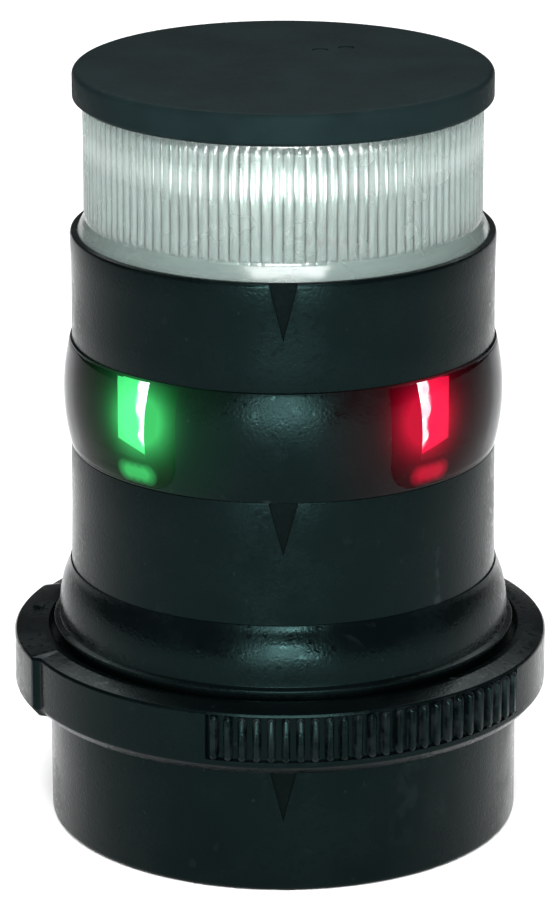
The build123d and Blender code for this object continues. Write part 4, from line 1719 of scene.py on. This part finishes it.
# ---- Finishes of every slot ------------------------------------------------------------------
class Palette:
    """The materials of the light, by the record's material slots."""

    def __init__(self, lamps: dict[Side, SectorLamps]) -> None:
        """Makes every material.

        Args:
            lamps: the sector lamps, whose glow is painted on their boards and windows.
        """
        self.lamps = lamps
        black, pale = (0.001, 0.0018, 0.0019), (0.02, 0.026, 0.028)
        self.slots: dict[str, Material] = {
            "black_housing": MouldedPlastic("housing_black", black, pale).make(),
            "black_ring": MouldedPlastic("ring_black", (0.0009, 0.0016, 0.0017), pale).make(),
            "black_cap": MouldedPlastic("cap_black", (0.0052, 0.01, 0.0107), (0.016, 0.024, 0.026), 0.5, 0.015, wear=0.2).make(),
            "screen_black": MouldedPlastic("screen_black", (0.004, 0.005, 0.005), pale, roughness=0.6).make(),
            # The anchor lens has painted shade in its 118 flute valleys and a painted glow ring.
            "clear_lens": ClearPlastic("anchor_clear", (0.29, 0.37, 0.345), 0.2, transmission=0.72, flow_depth=0.0, flutes=118.0,
                                       glow_height=0.0979).make(),
            "sector_lens": ClearPlastic("sector_clear", (0.9, 0.93, 0.93), 0.03).make(),
            "white_reflector": MouldedPlastic("reflector_white", (0.42, 0.47, 0.45), (0.6, 0.62, 0.6), 0.3, 0.5).make(),
            "white_board": GlowPaintedBoard("anchor_board_lit", (0.8, 0.82, 0.8), (1.0, 0.97, 0.94), self.ring_of_glows(), gain=1.2).make(),
            "circuit_board": MouldedPlastic("board_green", (0.012, 0.11, 0.045), (0.4, 0.3, 0.1), 0.3, 0.5).make(),
            "green_lamp": LampPackage("lamp_green", (0.8, 1.0, 0.9), (0.85, 1.0, 0.92), 30.0).make(),
            "red_lamp": LampPackage("lamp_red", (1.0, 0.8, 0.8), (1.0, 0.72, 0.72), 30.0).make(),
            "white_lamp": LampPackage("lamp_white", (1.0, 1.0, 0.98), (1.0, 0.98, 0.95), 16.0).make(),
            "aluminium": Metal("aluminium_machined", (0.74, 0.75, 0.76), 0.34).make(),
            "stainless": Metal("stainless_satin", (0.6, 0.6, 0.59), 0.28).make(),
            "plated_steel": Metal("steel_plated", (0.68, 0.67, 0.6), 0.3).make(),
            "brass": Metal("brass_machined", (0.8, 0.6, 0.28), 0.25).make(),
            "rubber": MouldedPlastic("rubber_black", (0.012, 0.012, 0.012), (0.06, 0.06, 0.06), 0.75, 0.3).make(),
            "socket_nylon": MouldedPlastic("nylon_black", (0.03, 0.03, 0.033), (0.1, 0.1, 0.1), 0.5).make(),
            "inductor_ferrite": MouldedPlastic("ferrite_grey", (0.06, 0.055, 0.05), (0.15, 0.14, 0.13), 0.65).make(),
            "capacitor_can": Metal("can_sleeve", (0.3, 0.32, 0.4), 0.4).make(),
            "chip_black": MouldedPlastic("chip_epoxy", (0.012, 0.012, 0.013), (0.2, 0.2, 0.2), 0.55).make(),
            "lead_red": MouldedPlastic("lead_red", (0.5, 0.012, 0.012), (0.6, 0.1, 0.1), 0.4, 0.5).make(),
            "lead_black": MouldedPlastic("lead_black", (0.012, 0.012, 0.012), (0.08, 0.08, 0.08), 0.45, 0.5).make(),
        }
        self.mark = MouldedPlastic("pointer_black", (0.001, 0.0012, 0.0012), (0.003, 0.004, 0.004), 0.6, 0.03).make()
        self.boards = {side: self.board(side) for side in Side}
        self.windows = {side: self.window(side) for side in Side}
        # Painted lamp glow on the band beside the starboard and port windows.
        spill = {side: self.spill(side) for side in (Side.STARBOARD, Side.PORT)}
        self.band = MouldedPlastic("band_black", black, pale, spills=tuple(spill.items())).make()

    @staticmethod
    def ring_of_glows() -> tuple[Glow, ...]:
        """The painted glow of the anchor lamps on the board that is wrapped round the post."""
        anchor = AnchorLight()
        step = 360.0 / anchor.lamps
        return tuple(Glow(spot(index * step, anchor.lamp_radius, anchor.lamp_height), 0.0055, 1.0, 0.7) for index in range(anchor.lamps))

    def spill(self, side: Side) -> tuple[Glow, ...]:
        """The painted glow of a sector's lamps over the band beside them.

        Args:
            side: the sector.

        Returns:
            The glows, centred on the band's face.
        """
        toward_bow = -1.0 if side is Side.STARBOARD else 1.0
        centre = spot(toward_bow * 39.7 if side is not Side.STERN else 180.0, 30.4, 64.6)
        return (Glow(centre, 0.0125, 2.4, 5.0), Glow(centre, 0.018, 0.045, 1.5))

    def board(self, side: Side) -> Material:
        """The board of a sector, with its lamps' glow painted on it.

        Args:
            side: the sector.

        Returns:
            The material.
        """
        lamps = self.lamps[side]
        glows = [Glow(lamps.place(height), 0.0026 * size, 1.5, 1.0) for height, size in zip(lamps.heights, lamps.domes)]
        glows.append(Glow(lamps.place(64.5), 0.04, 0.95, 0.5))
        return GlowPaintedBoard(f"{side.value}_board_lit", (0.8, 0.82, 0.8), LAMP_COLOURS[side], tuple(glows)).make()

    def window(self, side: Side) -> Material:
        """The clear window of a sector, with its lamps' glow painted along its foot and over its middle.

        Args:
            side: the sector.

        Returns:
            The material.
        """
        lamps = self.lamps[side]
        toward_bow = -1.0 if side is Side.STARBOARD else 1.0
        # Painted glow spots along the window's foot.
        feet = (37.5, 40.0, 42.5, 45.0) if side is not Side.STERN else (172.5, 175.0, 177.5, 180.0, 182.5, 185.0, 187.5)
        glows = [Glow(spot(toward_bow * azimuth, 30.0, 56.9), 0.0017, 0.4, 0.8) for azimuth in feet]
        glows += self.spill(side)
        name = f"{side.value}_clear"
        return ClearPlastic(name, (0.045, 0.047, 0.05), 0.02, 1.1, glow_colour=LAMP_COLOURS[side], glows=tuple(glows), glow_limit=0.5).make()

    def dress_frame(self) -> None:
        """Gives every CAD node of the frame the material of its slot."""
        for entry in frame["record"]["subparts"]:
            dress(frame["nodes"][entry["node"]], self.slots[entry["material_slot"]])
        for side, material in self.boards.items():
            dress(frame["nodes"][f"{side.value}_board"], material)


# ---- Studio ----------------------------------------------------------------------------------
@dataclass(frozen=True)
class Studio:
    """A plain pale floor, soft lights and the camera."""

    camera_distance: float = 0.59128
    camera_height: float = 0.24438
    camera_pitch: float = 17.9565
    focal_length: float = 177.4
    camera_shift: float = -0.0075

    def build(self) -> None:
        """Builds the floor, the lights and the camera."""
        self.floor()
        self.world()
        self.softbox("key_softbox", (0.03, -0.61, 0.785), (0.6, 0.4), 14.0)
        self.softbox("front_softbox", (0.0, -0.98, 0.1), (0.62, 0.1), 9.0)
        self.softbox("strip_softbox", (0.0, -0.98, 0.27), (0.36, 0.09), 8.0)
        self.softbox("top_softbox", (0.0, 0.9, 1.25), (2.0, 1.0), 26.0)
        self.camera()
        scene = bpy.context.scene
        scene.view_settings.view_transform = "Standard"

    def floor(self) -> None:
        """The pale floor."""
        build = bmesh.new()
        bmesh.ops.create_grid(build, x_segments=4, y_segments=4, size=6.0)
        floor = new_object("floor", build)
        material = bpy.data.materials.new("floor_pale")
        material.use_nodes = True
        graph = Graph(material.node_tree)
        shader = graph.tree.nodes["Principled BSDF"]
        noise = graph.add("ShaderNodeTexNoise")
        noise.inputs["Scale"].default_value = 3.0
        graph.feed(shader.inputs["Base Color"], graph.blend(noise.outputs["Fac"], (0.9, 0.9, 0.9, 1.0), (0.93, 0.93, 0.93, 1.0)))
        shader.inputs["Roughness"].default_value = 0.9
        shader.inputs["Specular IOR Level"].default_value = 0.1
        place = graph.add("ShaderNodeTexCoord")
        reach = graph.add("ShaderNodeVectorMath", operation="LENGTH")
        graph.feed(reach.inputs[0], place.outputs["Object"])
        far = graph.ramp(reach.outputs["Value"], 0.6, 1.8)
        graph.feed(shader.inputs["Emission Color"], graph.blend(far, (0.0, 0.0, 0.0, 1.0), (1.0, 1.0, 1.0, 1.0)))
        shader.inputs["Emission Strength"].default_value = 0.95
        dress(floor, material)

    def world(self) -> None:
        """Even white surroundings."""
        world = bpy.data.worlds.new("studio")
        world.use_nodes = True
        back = world.node_tree.nodes["Background"]
        back.inputs["Color"].default_value = (0.97, 0.99, 1.0, 1.0)
        graph = Graph(world.node_tree)
        seen = graph.add("ShaderNodeLightPath")
        level = graph.ramp(seen.outputs["Is Camera Ray"], 0.0, 1.0, 0.12, 1.0)
        graph.feed(back.inputs["Strength"], level)
        bpy.context.scene.world = world

    def softbox(self, name: str, place: tuple[float, float, float], size: tuple[float, float], power: float) -> None:
        """One rectangular soft light that points at the middle of the object.

        Args:
            name: the light's name.
            place: where it stands.
            size: its width and height.
            power: its power in watts.
        """
        data = bpy.data.lights.new(name, "AREA")
        data.shape, data.size, data.size_y, data.energy = "RECTANGLE", size[0], size[1], power
        light = bpy.data.objects.new(name, data)
        light.location = place
        light.visible_camera = False
        aim = Vector((0.0, 0.0, 0.055)) - Vector(place)
        light.rotation_euler = aim.to_track_quat("-Z", "Y").to_euler()
        bpy.context.scene.collection.objects.link(light)

    def camera(self) -> None:
        """The camera, in front of the bow side and a little above it."""
        data = bpy.data.cameras.new("camera")
        data.lens = self.focal_length
        data.sensor_width = 36.0
        data.shift_x = self.camera_shift
        data.clip_start = 0.01
        camera = bpy.data.objects.new("camera", data)
        camera.location = (0.0, -self.camera_distance, self.camera_height)
        camera.rotation_euler = (math.radians(90.0 - self.camera_pitch), 0.0, 0.0)
        bpy.context.scene.collection.objects.link(camera)
        bpy.context.scene.camera = camera


def main() -> None:
    """Builds the light and its studio."""
    logging.basicConfig(level=logging.INFO, format="%(message)s")
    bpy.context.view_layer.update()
    Studio().build()
    lamps = {
        Side.STARBOARD: SectorLamps(Side.STARBOARD, -62.8, 9.3),
        Side.PORT: SectorLamps(Side.PORT, 62.8, -9.3),
        Side.STERN: SectorLamps(Side.STERN, 180.0, 0.0),
    }
    palette = Palette(lamps)
    palette.dress_frame()
    black, mark = palette.slots["black_housing"], palette.mark
    BaseCup().build(black, mark)
    GripRing().build(palette.slots["black_ring"])
    LowerBarrel().build(black, mark)
    Band().build(palette.band, palette.windows)
    for side, slot in ((Side.STARBOARD, "green_lamp"), (Side.PORT, "red_lamp"), (Side.STERN, "white_lamp")):
        lamps[side].build(palette.slots[slot], slot)
    UpperBarrel().build(black, mark)
    anchor = AnchorLight()
    anchor.lens(palette.slots["clear_lens"])
    anchor.inside(palette.slots["white_reflector"])
    anchor.lamp_ring(palette.slots["white_lamp"])
    TopCap().build(palette.slots["black_cap"])


if __name__ == "__main__":
    main()
